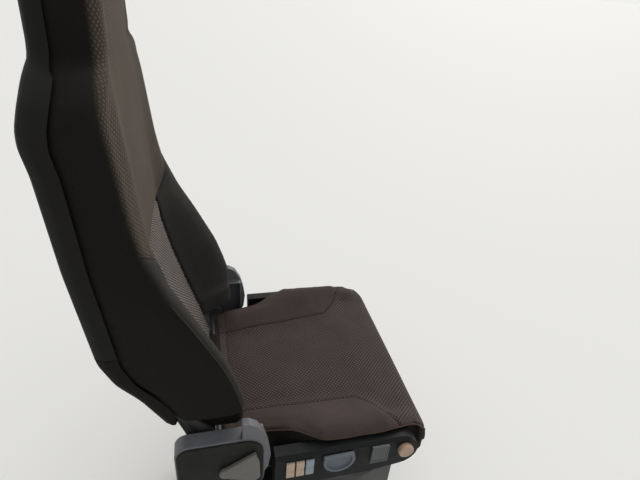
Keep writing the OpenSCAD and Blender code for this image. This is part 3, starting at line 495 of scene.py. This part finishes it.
def closed_mesh(name, points, faces, dissolve=0.0):
    """A mesh from points in millimetres: doubled points merged, edges shorter than dissolve metres taken
    out, and the faces turned outward."""
    mesh = bpy.data.meshes.new(name)
    lists = faces if isinstance(faces, list) else faces.tolist()
    mesh.from_pydata((np.asarray(points, float) * MM).tolist(), [], lists)
    work = bmesh.new()
    work.from_mesh(mesh)
    bmesh.ops.remove_doubles(work, verts=work.verts, dist=DOUBLES)
    if dissolve:
        bmesh.ops.dissolve_degenerate(work, edges=work.edges, dist=dissolve)
    bmesh.ops.recalc_face_normals(work, faces=work.faces)
    work.to_mesh(mesh)
    work.free()
    return mesh


def piece(name, points, faces, material, body, replaces=(), bevel=0.0, sharp=50.0, uv=None):
    """A moulded, turned or sewn piece from points in millimetres, its edges sharper than the angle kept
    crisp."""
    mesh = closed_mesh(name, points, faces, dissolve=1e-7)
    shade_smooth(mesh, sharp)
    return finish(bpy.data.objects.new(name, mesh), material, body, replaces, bevel, uv)


def finish(made, material, body, replaces=(), bevel=0.0, uv=None):
    """Links an object, gives it its material, weave map and bevel in millimetres, and puts it on its
    body."""
    bpy.context.scene.collection.objects.link(made)
    mesh = made.data
    mesh.materials.clear()
    mesh.materials.append(material)
    if uv is not None:
        weave_map(mesh, uv)
    if bevel:
        edge = made.modifiers.new("edge", "BEVEL")
        edge.width = bevel * MM
        edge.segments = 2
        edge.limit_method = "ANGLE"
        edge.angle_limit = np.radians(35)
        edge.harden_normals = True
    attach(made, body)
    if replaces:
        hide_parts(*replaces)
    return made


def weave_map(mesh, uv):
    """A UV map named weave, in metres on the cloth: uv turns arrays of x, y and z in millimetres into two
    lengths."""
    co = np.empty(len(mesh.vertices) * 3)
    mesh.vertices.foreach_get("co", co)
    co = co.reshape(-1, 3) / MM
    across, along = uv(co[:, 0], co[:, 1], co[:, 2])
    corner = np.empty(len(mesh.loops), int)
    mesh.loops.foreach_get("vertex_index", corner)
    layer = mesh.uv_layers.new(name="weave")
    layer.data.foreach_set("uv", (np.stack([across, along], 1)[corner] * MM).ravel())


def grid_faces(rows, cols, start=0, around=False):
    """Quads between the points of a grid of rows by cols, closed around each row if asked."""
    last = cols if around else cols - 1
    i, j = np.meshgrid(np.arange(rows - 1), np.arange(last), indexing="ij")
    k = (j + 1) % cols
    quads = np.stack([i * cols + j, i * cols + k, (i + 1) * cols + k, (i + 1) * cols + j], -1)
    return quads.reshape(-1, 4) + start


def slab(low, high):
    """A closed form between two grids of points of one size: both grids, and the four strips that join
    their edges."""
    rows, cols = low.shape[:2]
    n = rows * cols
    ids = np.arange(n).reshape(rows, cols)
    strips = []
    for rim in (ids[0], ids[-1], ids[:, 0], ids[:, -1]):
        strips.append(np.stack([rim[:-1], rim[1:], rim[1:] + n, rim[:-1] + n], 1))
    points = np.concatenate([low.reshape(-1, 3), high.reshape(-1, 3)])
    return points, np.concatenate([grid_faces(rows, cols), grid_faces(rows, cols, n)] + strips)


def loft(rings):
    """A closed form through rings of points, an array of rings by points by three, its two ends closed by
    flat caps."""
    rings = np.asarray(rings, float)
    count, n = rings.shape[:2]
    faces = grid_faces(count, n, around=True).tolist()
    faces += [list(range(n)), list(range((count - 1) * n, count * n))]
    return rings.reshape(-1, 3), faces


def tube(path, radius, normal, sides=8, tip=0.35):
    """A tube along a path with closed ends drawn in to the share tip of its radius: each ring turns round
    the path's direction, its first axis along normal."""
    along = np.gradient(path, axis=0)
    along /= np.linalg.norm(along, axis=1, keepdims=True)
    normal = normal - np.sum(normal * along, 1)[:, None] * along
    normal = normal / np.linalg.norm(normal, axis=1, keepdims=True)
    side = np.cross(along, normal)
    t = np.linspace(0, 2 * np.pi, sides, endpoint=False)[None, :, None]
    ends = np.ones(len(path))
    ends[[0, -1]] = tip
    r = (radius * ends)[:, None, None]
    return loft(path[:, None] + r * (np.cos(t) * normal[:, None] + np.sin(t) * side[:, None]))


def dressed(node, body, slot, bevel):
    """A copy of a CAD node with its triangles merged to whole faces and its edges bevelled as a press, a
    saw or a mould leaves them."""
    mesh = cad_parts[node].data.copy()
    mesh.name = node + "_finished"
    work = bmesh.new()
    work.from_mesh(mesh)
    bmesh.ops.remove_doubles(work, verts=work.verts, dist=CAD_DOUBLES)
    bmesh.ops.dissolve_limit(work, angle_limit=np.radians(0.6), verts=work.verts, edges=work.edges)
    work.to_mesh(mesh)
    work.free()
    shade_smooth(mesh, 30)
    return finish(bpy.data.objects.new(mesh.name, mesh), FINISHES[slot], body, (node,), bevel)


def pad(name, forms, material, body, nodes, uv, seams=(), voxel=5.5, swell=6.0):
    """A stuffed piece: closed forms, each (low, high), are remeshed as one to even quads of voxel
    millimetres, drawn in by nearly swell, blown up as cloth with the movement capped at swell, and
    subdivided once. Each seam is (mark, distance past it, depth, width): it is pressed in as a bell-shaped
    groove, and the points carry the distance as the mark."""
    points, faces, start = [], [], 0
    for low, high in forms:
        p, f = slab(low, high)
        points.append(p)
        faces.append(f + start)
        start += len(p)
    mesh = closed_mesh(name + "_form", np.concatenate(points), np.concatenate(faces))
    made = bpy.data.objects.new(name, mesh)
    bpy.context.scene.collection.objects.link(made)
    remesh = made.modifiers.new("even", "REMESH")
    remesh.mode = "VOXEL"
    remesh.voxel_size = voxel * MM
    mesh = baked(made)
    blow_up(made, mesh, swell)
    fine = made.modifiers.new("fine", "SUBSURF")
    fine.levels = fine.render_levels = 1
    mesh = baked(made)
    place, normal = vertex_arrays(mesh)
    sunk = np.zeros(len(place))
    for mark, past, depth, width in seams:
        beyond = past(*(place / MM).T)
        sunk = np.maximum(sunk, depth * MM * np.exp(-(beyond / width) ** 2))
        mesh.attributes.new(mark, "FLOAT", "POINT").data.foreach_set("value", beyond.astype(np.float32))
    mesh.vertices.foreach_set("co", (place - normal * sunk[:, None]).ravel())
    shade_smooth(mesh)
    mesh.materials.clear()
    weave_map(mesh, uv)
    mesh.materials.append(material)
    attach(made, body)
    if nodes:
        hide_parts(*nodes)
    return made


def blow_up(made, mesh, swell, frames=20, pressure=4.0, draw_in=0.9):
    """Draws the mesh in along its normals by the share draw_in of swell, lets air pressure blow it up as
    cloth, and caps the movement at swell. The foam core then gives back a share of what a point has sunk
    below the form."""
    scene = bpy.context.scene
    start, normal = vertex_arrays(mesh)
    drawn = start - normal * swell * draw_in * MM
    mesh.vertices.foreach_set("co", drawn.ravel())
    cloth = made.modifiers.new("cloth", "CLOTH")
    cloth.settings.quality = 4
    cloth.settings.use_pressure = True
    cloth.settings.uniform_pressure_force = pressure
    cloth.settings.effector_weights.gravity = 0.0
    cloth.collision_settings.use_collision = False
    for number in range(1, frames + 1):
        scene.frame_set(number)
    after = made.evaluated_get(bpy.context.evaluated_depsgraph_get()).data
    blown = vertex_arrays(after)[0]
    made.modifiers.remove(cloth)
    scene.frame_set(1)
    move = blown - drawn
    length = np.linalg.norm(move, axis=1, keepdims=True)
    move *= np.minimum(1, swell * MM / np.maximum(length, 1e-9))
    end = drawn + move
    sunk = np.maximum(np.sum((start - end) * normal, 1), 0)
    mesh.vertices.foreach_set("co", (end + normal * (CORE_HOLD * sunk)[:, None]).ravel())


def baked(made):
    """The object's mesh with its modifiers applied and removed."""
    mesh = bpy.data.meshes.new_from_object(made.evaluated_get(bpy.context.evaluated_depsgraph_get()))
    made.modifiers.clear()
    made.data = mesh
    return mesh


def vertex_arrays(mesh):
    """The vertices' places and normals, as rows of three."""
    place = np.empty(len(mesh.vertices) * 3, np.float32)
    mesh.vertices.foreach_get("co", place)
    normal = np.empty_like(place)
    mesh.vertex_normals.foreach_get("vector", normal)
    return place.reshape(-1, 3).astype(float), normal.reshape(-1, 3).astype(float)


def trim(name, cover, path, radius, material, body, sunk=0.4):
    """Piping along a path in millimetres, laid on the nearest points of the cover and sunk a share of its
    radius."""
    mesh = cover.data
    shape = BVHTree.FromPolygons([v.co for v in mesh.vertices], [f.vertices for f in mesh.polygons])
    hits = [shape.find_nearest(Vector(point * MM)) for point in path]
    place = np.array([hit[0] for hit in hits]) / MM
    normal = np.array([hit[1] for hit in hits])
    for _ in range(3):
        even_out(place)
        even_out(normal)
    points, faces = tube(place + normal * radius * (1 - 2 * sunk), radius, normal)
    return piece(name, points, faces, material, body, sharp=60, uv=lambda x, y, z: (x + y, z))


def even_out(rows):
    """Eases each row between the ends: half of it stays and each neighbour adds a quarter."""
    rows[1:-1] = (rows[:-2] + 2 * rows[1:-1] + rows[2:]) / 4


def even_path(points, step=6.0):
    """Points at even steps along a path, its corners rounded by a running mean."""
    points = np.array(points, float)
    run = np.concatenate([[0], np.cumsum(np.linalg.norm(np.diff(points, axis=0), axis=1))])
    at = np.linspace(0, run[-1], int(run[-1] / step) + 2)
    fine = np.stack([np.interp(at, run, points[:, k]) for k in range(3)], 1)
    for _ in range(4):
        even_out(fine)
    return fine


# pads
# distances, in millimetres, that stand for well past a seam and for well inside it
WELL_PAST, WELL_INSIDE = 60, -30


def flat_map(x, y, z):
    """Cushion cloth: across is X, along is Y, and both go on down the front and the sides by the height
    lost."""
    side_x, side_z, front_y, front_z = 225, 500, -255, 478
    down_side = np.clip(side_z - z, 0, 200) * (np.abs(x) > side_x)
    return x + np.sign(x) * down_side, y + np.clip(z - front_z, -200, 0) * (y < front_y)


def upright_map(x, y, z):
    """Backrest cloth: across is X with the depth lost on the sides, along is the height with the depth
    lost on the top."""
    edge_in, top_y, top_z = 24, 300, 1330
    side = np.clip(y - back_front(np.minimum(np.abs(x), back_w_at(z) - edge_in), z), 0, 200)
    return x + np.sign(x) * side, z + np.clip(y - top_y, 0, 100) * (z > top_z)


def cushion_seam_turn(y):
    """Where the edge seam lies on the rounded edge: its angle from the top, and how far it is down the
    straight side."""
    under = edge_seam_z(y) - crest_z(y) + EDGE_ROUND
    return np.arccos(np.clip(under / EDGE_ROUND, 0, 1)), np.maximum(-under, 0)


def past_cushion_edge(x, y, z):
    """Distance past the cushion's edge seam, measured along the top, round the quarter circle and down the
    side. On the front it is how far a point lies below the seam, and everything far down counts as well
    past it."""
    far_down, front_w = 45, 10
    out, up = np.abs(x) - cushion_half(y) + EDGE_ROUND, z - crest_z(y) + EDGE_ROUND
    full_turn = EDGE_ROUND * np.pi / 2
    run = np.where(out < 0, out, np.where(up > 0, EDGE_ROUND * np.arctan2(out, up), full_turn - up))
    run = np.where(up < -far_down, WELL_PAST, run)
    turn, below = cushion_seam_turn(y)
    front = np.where(y < CUSHION_FRONT + front_w, FRONT_SEAM_Z - z, WELL_INSIDE)
    return np.maximum(run - EDGE_ROUND * turn - below, front)


def past_insert_edge(x, y, z):
    """Distance outside the insert's seam, square to it: the width outside it, shortened by the seam's
    slope."""
    slope = (cloth_half(y + 1) - cloth_half(y - 1)) / 2
    return (np.abs(x) - cloth_half(y)) / np.hypot(1, slope)


def cushion_pads():
    """The cushion's one cover, insert and bolsters parted by its seams, and the piping round its edge."""
    s = np.linspace(-1, 1, 131)[:, None]
    lip = np.linspace(CUSHION_FRONT, WING_START - 1, 12)
    y = np.concatenate([lip, np.linspace(WING_START + 4, CUSHION_REAR, 66)])
    x = np.sign(s) * np.abs(s) ** 0.8 * cushion_half(y)[None, :]
    y = y[None, :] + 0 * x
    under = cushion_under(x, y)
    low = np.stack([x, y, under], -1)
    high = np.stack([x, y, np.maximum(cushion_top(x, y), under + 2)], -1)
    seams = [("past_insert", past_insert_edge, 1.8, 3.5), ("past_seam", past_cushion_edge, 2.0, 3.5)]
    nodes = ["cushion_insert", "cushion_bolster_right", "cushion_bolster_left"]
    cover = pad("cushion_cover_pad", [(low, high)], CUSHION_COVER, "cushion", nodes,
                flat_map, seams, voxel=6.0)
    trim("cushion_piping", cover, even_path(cushion_seam_path()), 1.7, PIPING, "cushion")


def cushion_seam_path():
    """The edge seam as a line of points: forward along the right side, across the front and back along the
    left."""
    y = np.array([130, 100, 68, 37, 16, 3, -12, -24, -39, -52, -85, -118, -160, -202, -240, -258, -270, -280,
                  -285])
    turn, _ = cushion_seam_turn(y)
    right = np.stack([-(cushion_half(y) - EDGE_ROUND + EDGE_ROUND * np.sin(turn)), y, edge_seam_z(y)], 1)
    corner = cushion_half(CUSHION_FRONT) - EDGE_ROUND / 2
    front = [(-corner, CUSHION_FRONT, FRONT_SEAM_Z + 4), (8 - corner, CUSHION_FRONT - 2, FRONT_SEAM_Z),
             (corner - 8, CUSHION_FRONT - 2, FRONT_SEAM_Z), (corner, CUSHION_FRONT, FRONT_SEAM_Z + 4)]
    return np.concatenate([right, front, right[::-1] * [-1, 1, 1]])


def rear_roll():
    """The stuffed roll along the cushion's rear edge, which closes the gap to the back: the cushion's
    height at its rear carried back and eased up to a crest in front of the back's tail, rounded off at
    both ends, by a small quarter circle above and by a large one below."""
    overlap, rise_start, rise_w, crest_half, crest_fade = 8, 4, 15, 192, 40
    turn = ROLL_UNDER * np.sin(np.linspace(0.2, 1.57, 12))
    flat = np.linspace(CUSHION_REAR - overlap, ROLL_REAR - ROLL_UNDER, 5)
    y = np.concatenate([flat, ROLL_REAR - ROLL_UNDER + turn])
    x = np.linspace(-1, 1, 91)[:, None] * ROLL_HALF + 0 * y[None, :]
    y = y[None, :] + 0 * x
    side = quarter(np.abs(x) - ROLL_HALF, ROLL_SIDE)
    above = quarter(y - ROLL_REAR, ROLL_ABOVE)
    under = quarter(y - ROLL_REAR, ROLL_UNDER)
    top = cushion_top(x, CUSHION_REAR + 0 * y)
    rise = smooth((y - CUSHION_REAR + rise_start) / rise_w) * smooth((crest_half - np.abs(x)) / crest_fade)
    crest = np.maximum(ROLL_CREST - top, 0) * rise
    low = np.stack([x, y, top - ROLL_SUNK - ROLL_THICK + under + side], -1)
    high = np.stack([x, y, top - ROLL_SUNK + crest - above - side], -1)
    marks = [("past_insert", past_insert_edge, 0.0, 3.5), ("past_seam", past_cushion_edge, 0.0, 3.5)]
    roll = pad("cushion_rear_roll", [(low, high)], CUSHION_COVER, "cushion", [],
               flat_map, marks, voxel=5.0, swell=3.0)
    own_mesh(roll)


def bolster_edge(x):
    """Height of the slanted seam over the bolsters, which rises outward from the insert's upper corners."""
    return BOLSTER_TOP + BOLSTER_SLOPE * (np.abs(x) - INSERT_W / 2)


def past_back_edge(x, y, z):
    """Distance past the turn from the backrest's front to its side: how far a point of the outer edge lies
    behind it. The turn lies a little behind the crest, and more so in the upper back."""
    # past this distance the cover's colour goes over to the side cloth and its painted shade
    behind, more_behind, edge_w = 9, 6, 30
    depth = y - crest_y(z) - behind - more_behind * above_bolsters(z)
    return np.minimum(depth, np.abs(x) - back_w_at(z) + edge_w)


def below_bolster_edge(x, y, z):
    """Distance below the slanted seam over the bolsters, on the front only; everything on the side counts
    as well below it, and everything on the insert as well above it."""
    down = (bolster_edge(x) - z) / np.hypot(1, BOLSTER_SLOPE)
    on_front = np.where(np.abs(x) > INSERT_W / 2 - 14, down, WELL_INSIDE)
    return np.where(past_back_edge(x, y, z) > 3, WELL_PAST, on_front)


def past_neck(x, y, z):
    """Distance above the crease under the head restraint, which dips in the middle by a cosine over its
    width."""
    dip, half = 6, 150
    return z - HEAD_Z - dip / 2 + dip * np.cos(x / half * np.pi / 2)


def back_form(x, z):
    """The backrest's padding at places x, z, as its rear and its front grid."""
    return np.stack([x, back_rear(x, z) - FRAME_ROOM, z], -1), np.stack([x, back_front(x, z), z], -1)


def back_pads():
    """The lower insert, and the one cover round both bolsters, the upper back and the head restraint, with
    its piping."""
    z = np.linspace(PAD_LOW, BOLSTER_TOP - 1, 60)[None, :]
    x = np.linspace(-1, 1, 41)[:, None] * (INSERT_W / 2 - 0.8) + 0 * z
    z = z + 0 * x
    low = np.stack([x, back_rear(0 * x, z) - FRAME_ROOM, z], -1)
    high = np.stack([x, back_front(x, z), z], -1)
    pad("back_insert_pad", [(low, high)], FINISHES["patterned_fabric"], "backrest",
        ["back_insert"], upright_map)
    # past_seam here presses no groove; it marks where the painted shade of the side takes over
    seams = [("past_seam", past_back_edge, 0.0, 1.0), ("below_edge", below_bolster_edge, 2.2, 4.0),
             ("past_neck", past_neck, 2.0, 9.0)]
    nodes = ["back_upper", "back_bolster_right", "back_bolster_left", "head_restraint"]
    cover = pad("back_cover_pad", bolster_forms() + [upper_form(), head_form()], COVER_PLUSH, "backrest",
                nodes, upright_map, seams, voxel=7.0)
    z = np.linspace(STEP_Z + 14, 862, 50)
    for side, word in ((-1, "right"), (1, "left")):
        path = np.stack([side * (back_w_at(z) - 6), crest_y(z) + 7, z], 1)
        trim("back_piping_" + word, cover, even_path(path), 1.5, DARK_PIPING, "backrest")


def bolster_forms():
    """The two bolsters, from the insert to the edge, their levels slanting up outward near the top."""
    level = np.concatenate([np.linspace(WING_LOW, STEP_Z, 8), np.linspace(STEP_Z + 4, SLANT_Z, 40),
                            np.linspace(SLANT_Z + 6, BOLSTER_TOP, 16)])[None, :]
    x = mix(INSERT_W / 2, back_w_at(level), np.linspace(0, 1, 28)[:, None])
    slanted = mix(SLANT_Z, bolster_edge(x) + 8, (level - SLANT_Z) / (BOLSTER_TOP - SLANT_Z))
    z = np.where(level <= SLANT_Z, level + 0 * x, slanted)
    return [back_form(-x, z), back_form(x, z)]


def upper_form():
    """The upper back, from the slanted seam over the bolsters to the neck."""
    v = np.linspace(0, 1, 56)[None, :]
    x = np.linspace(-1, 1, 81)[:, None] * back_w_at(mix(BOLSTER_TOP + 60, HEAD_Z, v))
    return back_form(x, mix(np.maximum(BOLSTER_TOP, bolster_edge(x)), HEAD_Z, v))


def head_form():
    """The head restraint, its rear carried out to the shell's wall."""
    z = np.linspace(HEAD_Z - 9, BACK_TOP - 1, 30)[None, :]
    x = np.linspace(-1, 1, 61)[:, None] * np.minimum(back_w_at(z), back_w_at(HEAD_Z))
    z = z + 0 * x
    front = back_front(x, z)
    rear = np.maximum(back_rear(x, z) - HEAD_ROOM, front + 6)
    return np.stack([x, rear, z], -1), np.stack([x, front, z], -1)


def back_tail():
    """The stuffed tail of the back's insert, pulled down round the cross tube: a circle round the tube
    below its middle, and above it two straight faces that lean back to the insert's lower edge."""
    top = PAD_LOW + 6
    turn = np.linspace(0.15, 1.57, 8)
    z = np.concatenate([TUBE_Z - TAIL_R * np.cos(turn), np.linspace(TUBE_Z + 3, top, 8)])
    x = np.linspace(-1, 1, 61)[:, None] * (INSERT_W / 2 - 4) + 0 * z[None, :]
    z = z[None, :] + 0 * x
    half = np.sqrt(np.maximum(TAIL_R ** 2 - np.minimum(z - TUBE_Z, 0) ** 2, 0.5))
    lean = np.clip((z - TUBE_Z) / (top - TUBE_Z), 0, 1) * TAIL_LEAN
    low = np.stack([x, TUBE_Y + half + lean, z], -1)
    high = np.stack([x, TUBE_Y - half + lean, z], -1)
    # dressed in the near-black side cloth, not the insert's plush, so that it reads as the shaded gap:
    # painted shade
    pad("back_tail_roll", [(low, high)], FINISHES["plain_fabric"], "backrest", [],
        upright_map, voxel=4.0, swell=2.0)


# back shell, controls, gaiter
def rear_skin(name, low_z, high_z, node, material, field=0.0):
    """A moulded rear: the backrest's rear surface as one curved sheet with a wall, its long edges carried
    forward as a rim that closes the slot behind the pads. A field is sunk into it, with eased edges a
    little inside its outline."""
    rim, rim_foot = 0.97, 0.955
    field_side, field_ease, field_low, field_high, field_w = 0.86, 0.07, 34, 40, 16
    z = np.linspace(low_z, high_z, 90)[None, :]
    s = np.concatenate([[-1, -rim, -rim_foot], np.linspace(-0.93, 0.93, 65), [rim_foot, rim, 1]])[:, None]
    x = s * back_w_at(z)
    z = z + 0 * x
    inside = smooth((field_side - np.abs(s)) / field_ease)
    inside = inside * smooth((z - low_z - field_low) / field_w) * smooth((high_z - field_high - z) / field_w)
    rear = back_rear(x, z) - field * inside
    wall = np.where(np.abs(s) >= rim, rim_depth(z), SHELL_T)
    points, faces = slab(np.stack([x, rear - wall, z], -1), np.stack([x, rear, z], -1))
    return piece(name, points, faces, material, "backrest", (node,), bevel=1.2, uv=upright_map)


def switch_keys():
    """The three rocker keys with rounded edges. The front one, whose faces lie at negative Y, has another
    colour."""
    made = dressed("switch_keys", "seat", "key_plastic", 1.0)
    mesh = made.data
    mesh.materials.append(BLUE_KEY)
    centre = np.empty(len(mesh.polygons) * 3)
    mesh.polygons.foreach_get("center", centre)
    mesh.polygons.foreach_set("material_index", (centre[1::3] < 0).astype(np.int32))


def damper_knob():
    """The turned knob: rings of a profile (distance out, radius, depth of flutes) round its axis, the rim
    fluted by a cosine of the angle."""
    flutes = 18
    profile = [(0.2, 15.2, 0), (2.5, 15.2, 0), (3.5, 16.9, 1.1), (10.5, 16.9, 1.1), (12.6, 15.8, 0.7),
               (13.6, 14.2, 0.2), (13.7, 12.4, 0), (12.9, 11, 0), (12.3, 8, 0), (12.2, 3, 0)]
    turn = np.linspace(0, 2 * np.pi, 8 * flutes, endpoint=False)
    rings = []
    for out, radius, flute in profile:
        r = radius - flute * (0.5 - 0.5 * np.cos(flutes * turn))
        x = 0 * turn - FAIRING_FACE - out
        rings.append(np.stack([x, KNOB_Y + r * np.cos(turn), KNOB_Z + r * np.sin(turn)], 1))
    points, faces = loft(rings)
    piece("damper_knob_turned", points, faces, FINISHES["knob_plastic"], "seat",
          ("damper_knob",))


def gaiter_rings(depth, inward):
    """Rounded rectangles, one for each depth: four quarter circles whose corners are drawn in by the depth
    and, for the inner wall, by inward. Gives an array of rings by points by two."""
    margin = 2.3
    half_x = BASE_W / 2 - margin - depth - inward
    half_y = BASE_L / 2 - margin - depth - inward
    r = GAITER_CORNER - inward
    t = np.radians(np.linspace(0, 90, 9))
    corners = []
    for turn, sx, sy in ((0, 1, 1), (90, -1, 1), (180, -1, -1), (270, 1, -1)):
        a = t + np.radians(turn)
        x = sx * (half_x - r)[:, None] + r * np.cos(a)
        y = sy * (half_y - r)[:, None] + r * np.sin(a)
        corners.append(np.stack([x, y], -1))
    return np.concatenate(corners, 1)


def gaiter_skin():
    """The bellows: a rounded rectangle carried up, drawn in and out in a rounded wave with five folds, and
    closed over its edges by the same wall inside."""
    level = np.linspace(0, 1, 20 * GAITER_FOLDS + 1)
    wave = 0.5 - 0.5 * np.cos(2 * np.pi * GAITER_FOLDS * level)
    depth = GAITER_STEP * (1 - wave ** 0.8)
    walls = []
    for inward in (0.0, GAITER_WALL):
        ring = gaiter_rings(depth, inward)
        z = mix(GAITER_LOW, GAITER_HIGH, level)[:, None] + 0 * ring[..., 0]
        walls.append(np.concatenate([ring, z[..., None]], -1))
    outer, inner = walls
    whole = np.concatenate([outer, inner[::-1], outer[:1]])
    rows, cols = whole.shape[:2]
    mesh = closed_mesh("gaiter_folds", whole.reshape(-1, 3), grid_faces(rows, cols, around=True))
    shade_smooth(mesh)
    mesh.materials.append(FINISHES["gaiter_rubber"])
    made = bpy.data.objects.new("gaiter_folds", mesh)
    bpy.context.scene.collection.objects.link(made)
    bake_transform(made)
    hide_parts("gaiter")


# camera, light, stage
def photo_camera():
    """The photograph's camera, from its vanishing points: its place in metres, the directions of its
    right, up and view, and its focal length, which is 470 pixels in a picture 640 wide."""
    data = bpy.data.cameras.new("camera")
    data.sensor_width = 36.0
    data.lens = data.sensor_width * 470 / 640
    camera = bpy.data.objects.new("camera", data)
    right = (-0.23244, -0.96971, 0.07506)
    up = (0.51363, -0.05685, 0.85613)
    view = (0.82593, -0.23755, -0.51128)
    turned = Matrix([(right[k], up[k], -view[k]) for k in range(3)]).to_4x4()
    turned.translation = (-0.832, 0.172, 1.339)
    camera.matrix_world = turned
    bpy.context.scene.collection.objects.link(camera)
    bpy.context.scene.camera = camera


def soft_sun(name, source, strength, spread, colour):
    """A distant lamp that shines from the direction source, as wide in the sky as spread degrees, for soft
    shadows."""
    data = bpy.data.lights.new(name, "SUN")
    data.energy = strength
    data.angle = np.radians(spread)
    data.color = linear(colour)[:3]
    lamp = bpy.data.objects.new(name, data)
    lamp.rotation_euler = Vector(source).to_track_quat("Z", "Y").to_euler()
    bpy.context.scene.collection.objects.link(lamp)


def studio():
    """The plain stage: an even sky that lights softly and looks pale, a pale floor, and three wide
    suns."""
    sky_light, floor_half, floor_z = 0.55, 40.0, -0.0005
    scene = bpy.context.scene
    scene.view_settings.view_transform = "Standard"
    world = bpy.data.worlds.new("studio")
    scene.world = world
    world.use_nodes = True
    tree = world.node_tree
    light = tree.nodes["Background"]
    light.inputs["Color"].default_value = linear("#f2f3f5")
    light.inputs["Strength"].default_value = sky_light
    plain = add(tree, "ShaderNodeBackground", {"Color": linear("#f1f1ef"), "Strength": 1.0})
    path = add(tree, "ShaderNodeLightPath")
    seen = add(tree, "ShaderNodeMath", {0: path.outputs["Is Camera Ray"], 1: path.outputs["Is Glossy Ray"]},
               operation="MAXIMUM")
    both = add(tree, "ShaderNodeMixShader", {0: seen.outputs[0], 1: light.outputs[0], 2: plain.outputs[0]})
    tree.links.new(both.outputs[0], tree.nodes["World Output"].inputs[0])
    floor, _, shader = surface("pale_painted_floor", 0.8)
    shader.inputs["Base Color"].default_value = linear("#e9e9e6")
    mesh = bpy.data.meshes.new("studio_floor")
    corners = [(sx * floor_half, sy * floor_half, floor_z) for sx, sy in ((-1, -1), (1, -1), (1, 1), (-1, 1))]
    mesh.from_pydata(corners, [], [(0, 1, 2, 3)])
    mesh.materials.append(floor)
    ground = bpy.data.objects.new("studio_floor", mesh)
    scene.collection.objects.link(ground)
    soft_sun("windscreen", (1.2, -0.85, 1.0), 1.5, 40, "#fffaf3")
    soft_sun("overhead", (0.2, -0.2, 1.0), 0.5, 70, "#ffffff")
    soft_sun("near_side", (-1.0, -0.3, 0.9), 0.25, 60, "#f4f7ff")


photo_camera()
studio()

# what keeps its CAD shape, with the bevel in millimetres that its press, saw or mould leaves
STEEL = [("base_frame", "base"), ("upper_frame", "carriage"), ("seat_frame", "seat"),
         ("recliner_bracket_right", "seat"), ("recliner_bracket_left", "seat"),
         ("tilt_frame", "tilt_carrier"), ("cushion_pan", "cushion"), ("back_frame", "backrest")]
for cad, body in STEEL:
    dressed(cad, body, "painted_frame", 0.8)
ZINC = [("arm_pair_outer", "arms_outer"), ("arm_pair_inner", "arms_inner"), ("slide_rails_lower", "carriage"),
        ("slide_rails_upper", "seat")]
for cad, body in ZINC:
    dressed(cad, body, "zinc_steel", 0.5)
MOULDINGS = [("slide_handle", "dark_plastic", 1.2), ("fairing_right", "dark_plastic", 2.4),
             ("fairing_left", "dark_plastic", 2.4), ("height_lever", "lever_plastic", 1.8),
             ("tilt_flap", "flap_plastic", 1.2), ("recliner_cover_right", "cover_plastic", 2.6),
             ("recliner_cover_left", "cover_plastic", 2.6), ("recliner_disc_right", "disc_plastic", 1.6),
             ("recliner_disc_left", "disc_plastic", 1.6), ("recliner_lever", "recline_plastic", 3.0)]
for cad, slot, bevel in MOULDINGS:
    dressed(cad, "seat", slot, bevel)
switch_keys()
damper_knob()
gaiter_skin()
rear_skin("back_shell_moulding", SHELL_LOW, BACK_TOP, "back_shell", FINISHES["shell_plastic"],
          field=2.2)
rear_skin("back_lower_cover", PAD_LOW + 13, SHELL_LOW - 1, "back_lower_panel", FINISHES["plain_fabric"])
cushion_pads()
rear_roll()
back_pads()
back_tail()
